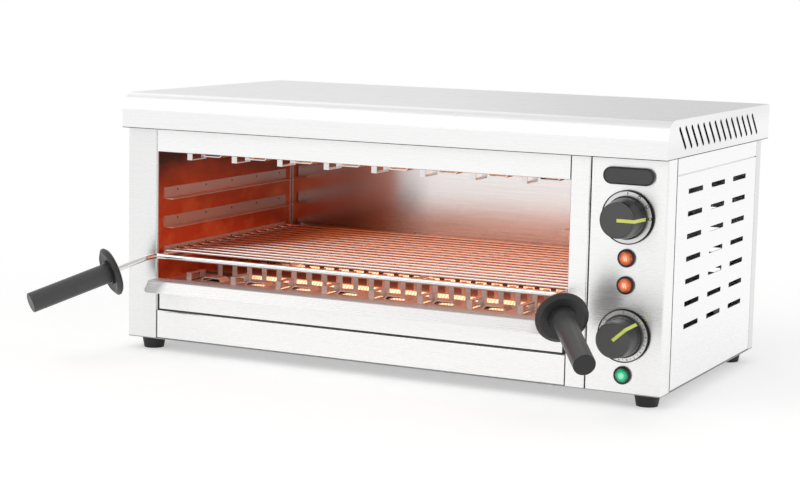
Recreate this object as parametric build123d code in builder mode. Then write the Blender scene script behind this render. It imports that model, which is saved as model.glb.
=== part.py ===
"""Countertop salamander grill with a sliding wire grid, a crumb tray and two control knobs.

Millimetres, +Z up, front towards -Y. The origin is on the counter, below the middle of the whole
outline, handles included.
"""

import os
from math import cos, radians, sin, sqrt

from build123d import *

os.makedirs("parts", exist_ok=True)

# Cabinet
body_width = 600
body_depth = 300
body_height = 225
sheet = 1
seam = 0.5
flange = 14
fold = 1.5
left_stile_width = 35.5
right_stile_width = 20
control_width = 77
top_fascia_height = 25
lower_fascia_height = 31
base_corner = 2
overrun = 5

# Hood
hood_height = 36
hood_front = 10
hood_rear = 21
hood_side = 1
hood_nose = 20
hood_slot_count = 14
hood_slot_span_share = 0.782
hood_slot_reach_share = 0.6
hood_slot_width = 4.2
hood_slot_lean = 45

# Side cover and back panel
control_wrap = 24
back_wrap = 17
cover_top_share = 0.92
cover_lap = 12
vent_columns = 3
vent_rows = 7
vent_length = 44
vent_height = 5
vent_corner = 1
vent_column_share = 0.277
vent_row_share = 0.1063
vent_centre_share = 0.6
back_vent_rows = 5

# Grill chamber
rear_space = 14
guard_below_lip = 3
guard_lip = 8
guard_margin = 3
bridge_columns = 8
bridge_pitch_share = 0.1173
bridge_shift_share = -0.031
bridge_width = 6
bridge_length = 28
bridge_rise = 8
bridge_front = 20
louvre_shift_share = 0.44
louvre_length = 26
louvre_width = 16
louvre_rise = 4
rib_width = 5.5
rib_length = 32
rib_rise = 14
window_edge = 40
window_columns = 21
window_width_share = 0.7
window_length_share = 0.5
reflector_top_gap = 6

# Quartz heaters
tube_count = 2
tube_radius = 6
tube_wall = 1.3
coil_radius = 3.5
tube_pitch_share = 0.33
tube_centre_share = 0.437
tube_to_guard = 4
tube_to_rib = 11.5
tube_hole_gap = 0.5
holder_radius = 10
holder_length = 16
holder_socket = 10
holder_fit = 0.1

# Grid rails
rail_height = 12
rail_ledge = 12
rail_front = 12
rail_rear = 15
rail_shares = (0.172, 0.407, 0.631)

# Wire grid and its handles
rod_radius = 2.75
rod_side_gap = 0.5
rest_gap = 0.3
rod_end_gap = 10
wire_radius = 1.25
wire_count = 16
wire_front = 10
wire_end_gap = 4
wire_overhang = 2.2
support_radius = 2
support_share = 0.337
front_bar_reach = 8
handle_start = 27
handle_bend = 12
handle_splay = 36
handle_dip = 18
handle_neck = 38
guard_disc_radius = 25.5
guard_disc_thickness = 6
guard_disc_bevel = 4
guard_disc_edge = 2
guard_disc_rim = 1.5
guard_disc_dish = 2
guard_disc_collar = 2
guard_disc_collar_rise = 3
grip_radius = 10.5
grip_length = 89
grip_round = 1
grip_socket = 55
rod_fit = 0.05

# Crumb tray
tray_side_gap = 1
tray_gap_below = 2
tray_rear_gap = 8
tray_depth = 12
tray_corner = 3
tray_front_height = 33
tray_front_gap = 3.2
lip_side_gap = 2.4
lip_clearance = 0.5
lip_reach = 20
lip_slope_reach = 10
lip_slope_drop = 11
lip_corner = 4
lip_bend = 3

# Knobs, dials and lamps
control_gap_shares = (0.1695, 0.0942, 0.0851, 0.1535, 0.2572, 0.0724)
selector_angle = 90
timer_angle = 48
dial_radius = 25.5
dial_thickness = 4
dial_rim = 0.8
dial_recess = 0.6
dial_hole = 5
knob_gap = 0.5
skirt_radius = 20.7
skirt_thickness = 3
knob_base_radius = 19.6
knob_face_radius = 17
knob_length = 27
knob_bevel = 1
pointer_width = 3.2
pointer_depth = 1
pointer_proud = 0.3
spindle_radius = 3
spindle_in_knob = 18
spindle_in_switch = 20
running_gap = 0.05
switch_width = 42
switch_depth = 40
switch_corner = 3
timer_radius = 23
timer_depth = 34
lamp_radius = 8.7
lamp_rim_height = 3
lamp_rim_bevel = 0.8
lamp_barrel_radius = 6
lamp_barrel_length = 24
lens_radius = 6.8
lens_seat = 1.5
lens_dome = 2
lamp_fit = 0.15
badge_length = 50.5
badge_width = 16.4
badge_thickness = 4
badge_bevel = 0.6
badge_rim = 1.4
badge_recess = 0.4

# Feet and screws
foot_height = 13
foot_top_radius = 13
foot_bottom_radius = 10.5
foot_inset = 20
foot_recess_radius = 5.5
foot_recess = 5
screw_radius = 2
screw_clearance = 0.15
screw_head_radius = 3.8
screw_head_height = 2.2
screw_head_bevel = 0.8
screw_reach = 8
screw_inset = 7
screw_end_gap = 16

# Mains entry
gland_height = 38
gland_bore = 5.5
gland_thread_radius = 10
gland_hex_radius = 12
gland_hex_height = 6
gland_cap_radius = 11
gland_cap_height = 14
gland_cap_bevel = 2.5
gland_nut_height = 5
gland_fit = 0.1
terminal_width = 40
terminal_depth = 22
terminal_height = 18
terminal_well_radius = 2.5
terminal_well_depth = 8
terminal_poles = 3
terminal_gap = 14

# Reach of the handles from the cabinet's front left corner
handle_out = sin(radians(handle_splay)) * cos(radians(handle_dip))
handle_forward = cos(radians(handle_splay)) * cos(radians(handle_dip))
handle_down = sin(radians(handle_dip))
rod_inset = left_stile_width + sheet + sheet + rod_side_gap + rod_radius
tip_distance = handle_neck + guard_disc_thickness - guard_disc_dish + grip_length
grip_flat = grip_radius - grip_round
tip_arc = tip_distance - grip_round
left_side = grip_flat * sqrt(1 - handle_out**2) + grip_round
left_reach = tip_arc * handle_out - rod_inset + left_side
front_side = grip_flat * sqrt(1 - handle_forward**2) + grip_round
front_reach = tip_arc * handle_forward + handle_start + front_side

# Cabinet faces in the part's frame
x_left = (left_reach - body_width - hood_side) / 2
x_right = x_left + body_width
x_middle = x_left + body_width / 2
y_front = (front_reach - body_depth - hood_rear) / 2
y_back = y_front + body_depth
y_middle = y_front + body_depth / 2
z_base = foot_height
z_floor = z_base + sheet
z_top = z_base + body_height
panel_height = z_top - z_floor
chamber_depth = body_depth - rear_space

# Chamber faces
x_stile = x_left + left_stile_width
x_panel = x_right - control_width
chamber_left = x_stile + sheet
chamber_right = x_panel - right_stile_width - seam
chamber_width = chamber_right - chamber_left
chamber_middle = (chamber_left + chamber_right) / 2
chamber_back = y_front + chamber_depth
fascia_left = chamber_left + seam
fascia_width = chamber_width - 2 * seam
z_fascia = z_top - top_fascia_height
z_shelf = z_floor + lower_fascia_height - sheet
z_tray = z_shelf + sheet + rest_gap
z_tray_front = z_shelf + tray_gap_below
z_lip = z_tray_front + tray_front_height
z_lower_guard = z_lip - guard_below_lip
z_upper_guard = z_fascia
clear_height = z_upper_guard - sheet - z_lower_guard
z_lower_tubes = z_lower_guard + rib_rise - sheet - tube_to_rib - tube_radius
z_upper_tubes = z_upper_guard + tube_to_guard + tube_radius

# Places that several pieces share
tube_pitch = chamber_depth * tube_pitch_share
tube_middle = y_front + chamber_depth * tube_centre_share
tube_rows = [tube_middle + tube_pitch * (row - (tube_count - 1) / 2) for row in range(tube_count)]
tube_points = [(y, z) for z in (z_lower_tubes, z_upper_tubes) for y in tube_rows]
rail_bottoms = [z_lower_guard + clear_height * share for share in rail_shares]
z_rod = rail_bottoms[0] + sheet + rest_gap + rod_radius
rod_left = chamber_left + sheet + rod_side_gap + rod_radius
rod_right = chamber_right - sheet - rod_side_gap - rod_radius
rod_back = chamber_back - rod_end_gap
dial_x = x_panel + control_width / 2
dial_size = 2 * dial_radius
lamp_size = 2 * lamp_radius
control_sizes = (badge_width, dial_size, lamp_size, lamp_size, dial_size, lamp_size)
control_space = body_height - sum(control_sizes)
control_heights = []
control_edge = z_top
for control_size, gap_share in zip(control_sizes, control_gap_shares):
    control_heights.append(control_edge - control_space * gap_share - control_size / 2)
    control_edge = control_heights[-1] - control_size / 2
badge_z, selector_z, upper_lamp_z, middle_lamp_z, timer_z, lower_lamp_z = control_heights
lamp_heights = (upper_lamp_z, middle_lamp_z, lower_lamp_z)
cover_front = y_front + control_wrap + seam
cover_back = y_back - back_wrap - seam
cover_top = z_base + body_height * cover_top_share
cover_height = cover_top - z_floor
foot_points = [
    (x_left + foot_inset, y_front + foot_inset),
    (x_right - foot_inset, y_front + foot_inset),
    (x_left + foot_inset, y_back - foot_inset),
    (x_right - foot_inset, y_back - foot_inset),
]
screw_row_front = y_front + screw_inset
screw_row_back = y_back - sheet - screw_inset
screw_points = [
    (fascia_left + screw_end_gap, screw_row_front),
    (chamber_middle, screw_row_front),
    (chamber_right - seam - screw_end_gap, screw_row_front),
    (x_panel + seam + screw_end_gap, screw_row_front),
    (x_right - screw_inset, cover_front + screw_end_gap),
    (x_right - screw_inset, cover_back - screw_end_gap),
    (x_left + screw_inset, y_front + flange + screw_end_gap + foot_inset),
    (x_left + screw_inset, y_back - flange - screw_end_gap - foot_inset),
    (x_left + foot_inset + foot_inset, screw_row_back),
    (x_right - foot_inset - foot_inset, screw_row_back),
]


def save(piece, name):
    """Name a finished piece and write its file."""
    piece.part.label = name
    export_step(piece.part, f"parts/{name}.step")


def folded_section(plane, points, side, radius):
    """Section of a bent sheet whose outer face follows the points."""
    with BuildSketch(plane) as section:
        with BuildLine():
            FilletPolyline(*points, radius=radius)
            offset(amount=sheet, side=side, kind=Kind.INTERSECTION)
        make_face()
    return section.sketch


def panel_plane(z, clock_angle=90):
    """Plane on the control panel's face, its x axis at this angle clockwise from upright."""
    x_dir = (sin(radians(clock_angle)), 0, cos(radians(clock_angle)))
    return Plane(origin=(dial_x, y_front, z), x_dir=x_dir, z_dir=(0, -1, 0))


# Base plate, on which every panel stands
with BuildPart() as base_plate:
    with BuildSketch(Plane.XY.offset(z_base)):
        with Locations((x_middle, y_middle)):
            RectangleRounded(body_width, body_depth, base_corner)
        with Locations(*screw_points, *foot_points):
            Circle(screw_radius + screw_clearance, mode=Mode.SUBTRACT)
    extrude(amount=sheet)
save(base_plate, "base_plate")

# Left side panel, with the front stile, a return into the chamber and a rear flange
left_section = folded_section(
    Plane.XY.offset(z_floor),
    [
        (x_stile, y_front + flange),
        (x_stile, y_front),
        (x_left, y_front),
        (x_left, y_back - sheet),
        (x_left + flange, y_back - sheet),
    ],
    Side.RIGHT,
    fold,
)
with BuildPart() as left_side_panel:
    extrude(left_section, amount=panel_height)
    with BuildSketch(Plane.XY.offset(z_floor)):
        with Locations((x_left + sheet, y_middle)):
            Rectangle(
                flange - sheet, body_depth - 4 * flange, align=(Align.MIN, Align.CENTER)
            )
        with Locations(*screw_points):
            Circle(screw_radius + screw_clearance, mode=Mode.SUBTRACT)
    extrude(amount=sheet)
save(left_side_panel, "left_side_panel")

# Chamber's right wall, folded round the right stile
right_section = folded_section(
    Plane.XY.offset(z_floor),
    [
        (chamber_right, chamber_back),
        (chamber_right, y_front),
        (x_panel - seam, y_front),
        (x_panel - seam, y_front + flange),
    ],
    Side.LEFT,
    fold,
)
with BuildPart() as right_wall:
    extrude(right_section, amount=panel_height)
    with BuildSketch(Plane.YZ.offset(chamber_right)):
        with Locations(*tube_points):
            Circle(tube_radius + tube_hole_gap)
    extrude(amount=sheet, mode=Mode.SUBTRACT)
save(right_wall, "right_wall")

# Chamber's left wall
with BuildPart() as left_wall:
    with BuildSketch(Plane.YZ.offset(x_stile)):
        with Locations((y_front + sheet, z_floor)):
            Rectangle(chamber_depth - sheet, panel_height, align=(Align.MIN, Align.MIN))
        with Locations(*tube_points):
            Circle(tube_radius + tube_hole_gap, mode=Mode.SUBTRACT)
    extrude(amount=sheet)
save(left_wall, "left_wall")

# Chamber's back wall
with BuildPart() as back_wall:
    with BuildSketch(Plane.XZ.offset(-chamber_back)):
        with Locations((x_stile, z_floor)):
            Rectangle(
                chamber_width + 2 * sheet, panel_height, align=(Align.MIN, Align.MIN)
            )
    extrude(amount=-sheet)
save(back_wall, "back_wall")

# Control panel, wrapped round the front right corner
control_section = folded_section(
    Plane.XY.offset(z_floor),
    [
        (x_panel + seam, y_front + flange),
        (x_panel + seam, y_front),
        (x_right, y_front),
        (x_right, y_front + control_wrap),
    ],
    Side.LEFT,
    fold,
)
with BuildPart() as control_panel:
    extrude(control_section, amount=panel_height)
    with BuildSketch(Plane.XY.offset(z_floor)):
        with Locations((dial_x, y_front + sheet)):
            Rectangle(
                control_width - 4 * sheet, flange - sheet, align=(Align.CENTER, Align.MIN)
            )
        with Locations(*screw_points):
            Circle(screw_radius + screw_clearance, mode=Mode.SUBTRACT)
    extrude(amount=sheet)
    with BuildSketch(Plane.XZ.offset(-y_front)):
        with Locations((dial_x, selector_z), (dial_x, timer_z)):
            Circle(dial_hole)
        with Locations(*[(dial_x, z) for z in lamp_heights]):
            Circle(lamp_barrel_radius + lamp_fit)
    extrude(amount=-sheet, mode=Mode.SUBTRACT)
save(control_panel, "control_panel")

# Slotted service cover on the right side, turned in under its lower edge
cover_section = folded_section(
    Plane.XZ.offset(-cover_front),
    [
        (x_right - flange, z_floor),
        (x_right, z_floor),
        (x_right, cover_top),
    ],
    Side.LEFT,
    fold,
)
with BuildPart() as side_cover:
    extrude(cover_section, amount=-(cover_back - cover_front))
    with BuildSketch(Plane.YZ.offset(x_right)):
        with Locations(
            ((cover_front + cover_back) / 2, z_floor + cover_height * vent_centre_share)
        ):
            with GridLocations(
                (cover_back - cover_front) * vent_column_share,
                cover_height * vent_row_share,
                vent_columns,
                vent_rows,
            ):
                RectangleRounded(vent_length, vent_height, vent_corner)
    extrude(amount=-sheet, mode=Mode.SUBTRACT)
    with BuildSketch(Plane.XY.offset(z_floor)):
        with Locations(*screw_points):
            Circle(screw_radius + screw_clearance)
    extrude(amount=sheet, mode=Mode.SUBTRACT)
save(side_cover, "side_cover")

# Rail above the service cover, set back one sheet behind the cover's edge
rail_section = folded_section(
    Plane.XZ.offset(-cover_front),
    [
        (x_right - flange, z_top),
        (x_right, z_top),
        (x_right, cover_top + sheet + seam),
        (x_right - sheet, cover_top + seam),
        (x_right - sheet, cover_top - cover_lap),
    ],
    Side.RIGHT,
    (fold, 0, 0),
)
with BuildPart() as right_top_rail:
    extrude(rail_section, amount=-(cover_back - cover_front))
save(right_top_rail, "right_top_rail")

# Back panel, wrapped round the rear right corner, with vents behind the control compartment
back_section = folded_section(
    Plane.XY.offset(z_floor),
    [
        (x_left, y_back),
        (x_right, y_back),
        (x_right, y_back - back_wrap),
    ],
    Side.RIGHT,
    fold,
)
with BuildPart() as back_panel:
    extrude(back_section, amount=panel_height)
    with BuildSketch(Plane.XY.offset(z_floor)):
        with Locations((x_middle, y_back - sheet)):
            Rectangle(
                body_width - 4 * flange, rear_space - 3 * sheet, align=(Align.CENTER, Align.MAX)
            )
        with Locations(*screw_points):
            Circle(screw_radius + screw_clearance, mode=Mode.SUBTRACT)
    extrude(amount=sheet)
    with BuildSketch(Plane.XZ.offset(-y_back)):
        with Locations((dial_x, z_floor + cover_height * vent_centre_share)):
            with GridLocations(0, cover_height * vent_row_share, 1, back_vent_rows):
                RectangleRounded(vent_length, vent_height, vent_corner)
        with Locations((dial_x, z_base + gland_height)):
            Circle(gland_thread_radius + gland_fit)
    extrude(amount=sheet, mode=Mode.SUBTRACT)
save(back_panel, "back_panel")

# Fascia above the opening
with BuildPart() as top_fascia:
    top_section = folded_section(
        Plane.YZ.offset(fascia_left),
        [
            (y_front + flange, z_top),
            (y_front, z_top),
            (y_front, z_fascia),
            (y_front + flange, z_fascia),
        ],
        Side.LEFT,
        fold,
    )
    extrude(top_section, amount=fascia_width)
save(top_fascia, "top_fascia")

# Fascia below the crumb tray, turned in at both edges
with BuildPart() as lower_fascia:
    lower_section = folded_section(
        Plane.YZ.offset(fascia_left),
        [
            (y_front + flange, z_shelf),
            (y_front, z_shelf),
            (y_front, z_floor),
            (y_front + flange, z_floor),
        ],
        Side.LEFT,
        fold,
    )
    extrude(lower_section, amount=fascia_width)
    with BuildSketch(Plane.XY.offset(z_floor)):
        with Locations(*screw_points):
            Circle(screw_radius + screw_clearance)
    extrude(amount=sheet, mode=Mode.SUBTRACT)
save(lower_fascia, "lower_fascia")

# Chamber floor, on which the crumb tray slides
with BuildPart() as chamber_floor:
    with BuildSketch(Plane.XY.offset(z_shelf)):
        with Locations((chamber_left, y_front + 2 * sheet)):
            Rectangle(chamber_width, chamber_depth - 2 * sheet, align=(Align.MIN, Align.MIN))
    extrude(amount=sheet)
save(chamber_floor, "chamber_floor")

# Hood with a curved nose, turned in all round its lower edge and slotted at both ends
hood_left = x_left - hood_side
hood_width = body_width + 2 * hood_side
hood_y_front = y_front - hood_front
hood_y_back = y_back + hood_rear
hood_depth = hood_y_back - hood_y_front
hood_top = z_top + hood_height
hood_slot_rise = hood_height * hood_slot_reach_share
with BuildPart() as hood:
    with BuildSketch(Plane.YZ.offset(hood_left)):
        with BuildLine():
            front = Line((hood_y_front, z_top), (hood_y_front, hood_top - hood_nose))
            nose = RadiusArc(front @ 1, (hood_y_front + hood_nose, hood_top), hood_nose)
            Polyline(nose @ 1, (hood_y_back, hood_top), (hood_y_back, z_top), front @ 0)
        make_face()
    extrude(amount=hood_width)
    offset(amount=-sheet, openings=hood.faces().sort_by(Axis.Z)[0])
    with BuildSketch(Plane.XY.offset(z_top)):
        with Locations((x_middle, (hood_y_front + hood_y_back) / 2)):
            Rectangle(hood_width, hood_depth)
        with Locations((x_middle, y_middle)):
            Rectangle(
                body_width - 2 * flange, body_depth - 2 * flange, mode=Mode.SUBTRACT
            )
    extrude(amount=sheet)
    with BuildSketch(Plane.YZ.offset(hood_left - overrun)):
        with Locations((y_middle, z_top + hood_height / 2)):
            with GridLocations(
                body_depth * hood_slot_span_share / (hood_slot_count - 1),
                0,
                hood_slot_count,
                1,
            ):
                SlotOverall(
                    hood_slot_rise / sin(radians(hood_slot_lean)),
                    hood_slot_width,
                    rotation=-hood_slot_lean,
                )
    extrude(amount=hood_width + 2 * overrun, mode=Mode.SUBTRACT)
save(hood, "hood")


def raised_strip(length, rise, width):
    """Lanced strip of a heater guard, raised on two legs."""
    strip_section = folded_section(
        Plane.YZ.offset(-width / 2),
        [(-length / 2, 0), (-length / 2, rise), (length / 2, rise), (length / 2, 0)],
        Side.RIGHT,
        0,
    )
    with BuildPart() as strip:
        extrude(strip_section, amount=width)
    return strip.part


bridge = raised_strip(bridge_length, bridge_rise, bridge_width)
rib = raised_strip(rib_length, rib_rise, rib_width)

# Lanced louvre of a heater guard, a low flat-topped arch
louvre_section = folded_section(
    Plane.XZ.offset(-louvre_width / 2),
    [
        (-louvre_length / 2, 0),
        (-louvre_length / 2 + louvre_rise, louvre_rise),
        (louvre_length / 2 - louvre_rise, louvre_rise),
        (louvre_length / 2, 0),
    ],
    Side.RIGHT,
    0,
)
with BuildPart() as louvre:
    extrude(louvre_section, amount=louvre_width)

# Places of the bridges, louvres and windows that both guards share
bridge_pitch = chamber_width * bridge_pitch_share
bridge_first = (
    chamber_middle + chamber_width * bridge_shift_share - bridge_pitch * (bridge_columns - 1) / 2
)
bridge_row = y_front + bridge_front + bridge_length / 2
bridge_points = [
    (bridge_first + bridge_pitch * column, bridge_row) for column in range(bridge_columns)
]
louvre_points = [(x + bridge_pitch * louvre_shift_share, y) for x, y in bridge_points]
window_span = chamber_width - 2 * window_edge
window_pitch = window_span / window_columns
window_middles = [(chamber_middle, y) for y in tube_rows]


def heater_guard(front_edge):
    """Heater guard with its top face at height zero, bridges and louvres along its front."""
    with BuildPart() as guard:
        with BuildSketch(Plane.XY.offset(-sheet)):
            with Locations((chamber_left, front_edge)):
                Rectangle(chamber_width, chamber_back - front_edge, align=(Align.MIN, Align.MIN))
            with Locations(*bridge_points):
                Rectangle(bridge_width, bridge_length - 2 * sheet, mode=Mode.SUBTRACT)
            with Locations(*louvre_points):
                Rectangle(louvre_length - 2 * louvre_rise, louvre_width, mode=Mode.SUBTRACT)
        extrude(amount=sheet)
        with Locations(*bridge_points):
            add(bridge)
        with Locations(*louvre_points):
            add(louvre.part)
    return guard.part


# Lower heater guard, its front and rear edges turned down, with ribs raised over the tubes
lower_guard_front = y_front + guard_margin
rib_points = [
    (chamber_left + window_edge + window_pitch * column, y, z_lower_guard)
    for y in tube_rows
    for column in range(window_columns + 1)
]
with BuildPart() as lower_guard:
    with Locations((0, 0, z_lower_guard)):
        add(heater_guard(lower_guard_front))
    with BuildSketch(Plane.XY.offset(z_lower_guard)):
        with Locations(*window_middles):
            Rectangle(window_span, rib_length - 2 * sheet)
            Rectangle(chamber_width, 2 * (tube_radius + tube_hole_gap))
    extrude(amount=-sheet, mode=Mode.SUBTRACT)
    with Locations(*rib_points):
        add(rib)
    with BuildSketch(Plane.XY.offset(z_lower_guard - sheet)):
        with Locations((chamber_left, lower_guard_front), (chamber_left, chamber_back - sheet)):
            Rectangle(chamber_width, sheet, align=(Align.MIN, Align.MIN))
    extrude(amount=-guard_lip)
save(lower_guard, "lower_heater_guard")

# Upper heater guard, turned over, with flat windows under the tubes
upper_guard_front = y_front + flange + sheet
upper_plate = mirror(heater_guard(upper_guard_front), about=Plane.XY)
with BuildPart() as upper_guard:
    with Locations((0, 0, z_upper_guard - sheet)):
        add(upper_plate)
    with BuildSketch(Plane.XY.offset(z_upper_guard)):
        with Locations(*window_middles):
            with GridLocations(window_pitch, 0, window_columns, 1):
                Rectangle(window_pitch * window_width_share, tube_pitch * window_length_share)
    extrude(amount=-sheet, mode=Mode.SUBTRACT)
save(upper_guard, "upper_heater_guard")

# Reflector over the upper heaters, standing on the upper guard
z_reflector = z_top - reflector_top_gap
reflector_section = folded_section(
    Plane.YZ.offset(chamber_left),
    [
        (upper_guard_front, z_upper_guard),
        (upper_guard_front, z_reflector),
        (chamber_back, z_reflector),
        (chamber_back, z_upper_guard),
    ],
    Side.RIGHT,
    fold,
)
with BuildPart() as upper_reflector:
    extrude(reflector_section, amount=chamber_width)
save(upper_reflector, "upper_reflector")

# Quartz tubes and the heating coils inside them, two above and two below the chamber
tube_start = x_stile - holder_socket
tube_length = chamber_right + sheet + holder_socket - tube_start
for level, z in (("upper", z_upper_tubes), ("lower", z_lower_tubes)):
    with BuildPart() as quartz_tubes:
        with BuildSketch(Plane.YZ.offset(tube_start)):
            with Locations(*[(y, z) for y in tube_rows]):
                Circle(tube_radius)
                Circle(tube_radius - tube_wall, mode=Mode.SUBTRACT)
        extrude(amount=tube_length)
    save(quartz_tubes, f"{level}_quartz_tubes")

with BuildPart() as heating_coils:
    with BuildSketch(Plane.YZ.offset(tube_start)):
        with Locations(*tube_points):
            Circle(coil_radius)
    extrude(amount=tube_length)
save(heating_coils, "heating_coils")

# Ceramic tube holders on the outer faces of both chamber walls
with BuildPart() as tube_holders:
    for wall_x, outward in ((x_stile, -1), (chamber_right + sheet, 1)):
        with BuildSketch(Plane.YZ.offset(wall_x)):
            with Locations(*tube_points):
                Circle(holder_radius)
        extrude(amount=outward * holder_length)
        with BuildSketch(Plane.YZ.offset(wall_x)):
            with Locations(*tube_points):
                Circle(tube_radius + holder_fit)
        extrude(amount=outward * holder_socket, mode=Mode.SUBTRACT)
save(tube_holders, "tube_holders")

# Grid rails, three angles spot-welded to each chamber wall
rail_start = y_front + rail_front
rail_length = chamber_depth - rail_front - rail_rear
for level, z in zip(("lower", "middle", "upper"), rail_bottoms):
    for name, wall_x, inward, side in (
        ("left", chamber_left, 1, Side.LEFT),
        ("right", chamber_right, -1, Side.RIGHT),
    ):
        angle_section = folded_section(
            Plane.XZ.offset(-rail_start),
            [(wall_x, z + rail_height), (wall_x, z), (wall_x + inward * rail_ledge, z)],
            side,
            fold,
        )
        with BuildPart() as grid_rail:
            extrude(angle_section, amount=-rail_length)
        save(grid_rail, f"{name}_{level}_rail")

# Hand guard, a dished disc with a collar, along +Z from its back face
grip_seat = guard_disc_thickness - guard_disc_dish
collar_radius = grip_radius + guard_disc_collar
with BuildPart() as hand_guard_shape:
    with BuildSketch(Plane.XZ):
        with BuildLine():
            Polyline(
                (rod_radius + rod_fit, 0),
                (guard_disc_radius - guard_disc_edge, 0),
                (guard_disc_radius, guard_disc_edge),
                (guard_disc_radius, guard_disc_edge + guard_disc_rim),
                (guard_disc_radius - guard_disc_bevel, guard_disc_thickness),
                (collar_radius, grip_seat),
                (collar_radius, grip_seat + guard_disc_collar_rise),
                (grip_radius + rod_fit, grip_seat + guard_disc_collar_rise),
                (grip_radius + rod_fit, grip_seat),
                (rod_radius + rod_fit, grip_seat),
                close=True,
            )
        make_face()
    revolve(axis=Axis.Z)

# Grip, a round handle with a rounded end and a blind socket, along +Z from its seat
with BuildPart() as grip_shape:
    with BuildSketch(Plane.XZ) as grip_section:
        with BuildLine():
            Polyline(
                (rod_radius + rod_fit, 0),
                (grip_radius, 0),
                (grip_radius, grip_length),
                (0, grip_length),
                (0, grip_socket),
                (rod_radius + rod_fit, grip_socket),
                close=True,
            )
        make_face()
        fillet(grip_section.vertices().sort_by_distance((grip_radius, grip_length))[0], grip_round)
    revolve(axis=Axis.Z)

# Side rods of the grid, bent outwards and down into the handles
for name, rod_x, outward in (("left", rod_left, -1), ("right", rod_right, 1)):
    start = Vector(rod_x, rod_back, z_rod)
    corner = Vector(rod_x, y_front - handle_start, z_rod)
    direction = Vector(outward * handle_out, -handle_forward, -handle_down)
    with BuildPart() as grid_rod:
        with BuildLine():
            FilletPolyline(
                start,
                corner,
                corner + direction * (handle_neck + grip_seat + grip_socket),
                radius=handle_bend,
            )
        with BuildSketch(Plane(origin=start, z_dir=(0, -1, 0))):
            Circle(rod_radius)
        sweep()
    save(grid_rod, f"grid_rod_{name}")
    with BuildPart() as hand_guard:
        with Locations(Plane(origin=corner + direction * handle_neck, z_dir=direction).location):
            add(hand_guard_shape.part)
    save(hand_guard, f"hand_guard_{name}")
    with BuildPart() as grip:
        with Locations(
            Plane(origin=corner + direction * (handle_neck + grip_seat), z_dir=direction).location
        ):
            add(grip_shape.part)
    save(grip, f"grip_{name}")

# Front bar of the grid, coped onto both side rods
bar_y = y_front - front_bar_reach
with BuildPart() as grid_front_bar:
    with BuildSketch(Plane.YZ.offset(rod_left)):
        with Locations((bar_y, z_rod)):
            Circle(rod_radius)
    extrude(amount=rod_right - rod_left)
    with BuildSketch(Plane.XZ.offset(-bar_y)):
        with Locations((rod_left, z_rod), (rod_right, z_rod)):
            Circle(rod_radius)
    extrude(amount=2 * rod_radius, both=True, mode=Mode.SUBTRACT)
save(grid_front_bar, "grid_front_bar")

# Cross wires, welded on top of the side rods
z_wire = z_rod + rod_radius + wire_radius
wire_first = y_front + wire_front
wire_pitch = (rod_back - wire_end_gap - wire_first) / (wire_count - 1)
with BuildPart() as grid_wires:
    with BuildSketch(Plane.YZ.offset(rod_left - wire_overhang)):
        with Locations(*[(wire_first + wire_pitch * wire, z_wire) for wire in range(wire_count)]):
            Circle(wire_radius)
    extrude(amount=rod_right - rod_left + 2 * wire_overhang)
save(grid_wires, "grid_wires")

# Two support rods under the cross wires
support_x = (rod_right - rod_left) * support_share
z_support = z_wire - wire_radius - support_radius
with BuildPart() as grid_supports:
    with BuildSketch(Plane.XZ.offset(-(wire_first - wire_end_gap))):
        with Locations((rod_left + support_x, z_support), (rod_right - support_x, z_support)):
            Circle(support_radius)
    extrude(amount=-(rod_back - wire_first + wire_end_gap))
save(grid_supports, "grid_support_rods")

# Crumb tray floor, with an upright rim welded round it
tray_middle = (chamber_middle, (y_front + sheet + chamber_back - tray_rear_gap) / 2)
tray_width = chamber_width - 2 * tray_side_gap
tray_length = chamber_depth - sheet - tray_rear_gap
with BuildPart() as tray_floor:
    with BuildSketch(Plane.XY.offset(z_tray)):
        with Locations(tray_middle):
            RectangleRounded(tray_width, tray_length, tray_corner)
    extrude(amount=sheet)
save(tray_floor, "crumb_tray_floor")

with BuildPart() as tray_rim:
    with BuildSketch(Plane.XY.offset(z_tray + sheet)):
        with Locations(tray_middle):
            RectangleRounded(tray_width, tray_length, tray_corner)
            RectangleRounded(
                tray_width - 2 * sheet,
                tray_length - 2 * sheet,
                tray_corner - sheet,
                mode=Mode.SUBTRACT,
            )
    extrude(amount=tray_depth - sheet)
save(tray_rim, "crumb_tray_rim")

# Crumb tray front, folded forwards into a wider pull lip with rounded corners
lip_left = chamber_left + lip_side_gap
lip_right = chamber_right - lip_side_gap
strip_notch = tray_front_gap - lip_side_gap
lip_front = y_front - lip_reach - lip_slope_reach
with BuildPart() as tray_front:
    lip_section = folded_section(
        Plane.YZ.offset(lip_left),
        [
            (y_front + sheet, z_tray_front),
            (y_front + sheet, z_lip),
            (y_front - lip_reach, z_lip),
            (lip_front, z_lip - lip_slope_drop),
        ],
        Side.LEFT,
        lip_bend,
    )
    extrude(lip_section, amount=lip_right - lip_left)
    with BuildSketch(Plane.XY.offset(z_tray_front)):
        with Locations(
            (lip_left, y_front - lip_clearance),
            (lip_right - strip_notch, y_front - lip_clearance),
        ):
            Rectangle(strip_notch, lip_reach, align=(Align.MIN, Align.MIN))
    extrude(amount=tray_front_height + overrun, mode=Mode.SUBTRACT)
    lip_edge = tray_front.faces().sort_by(Axis.Y)[0]
    fillet(lip_edge.edges().sort_by(SortBy.LENGTH)[:2], lip_corner)
save(tray_front, "crumb_tray_front")

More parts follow.
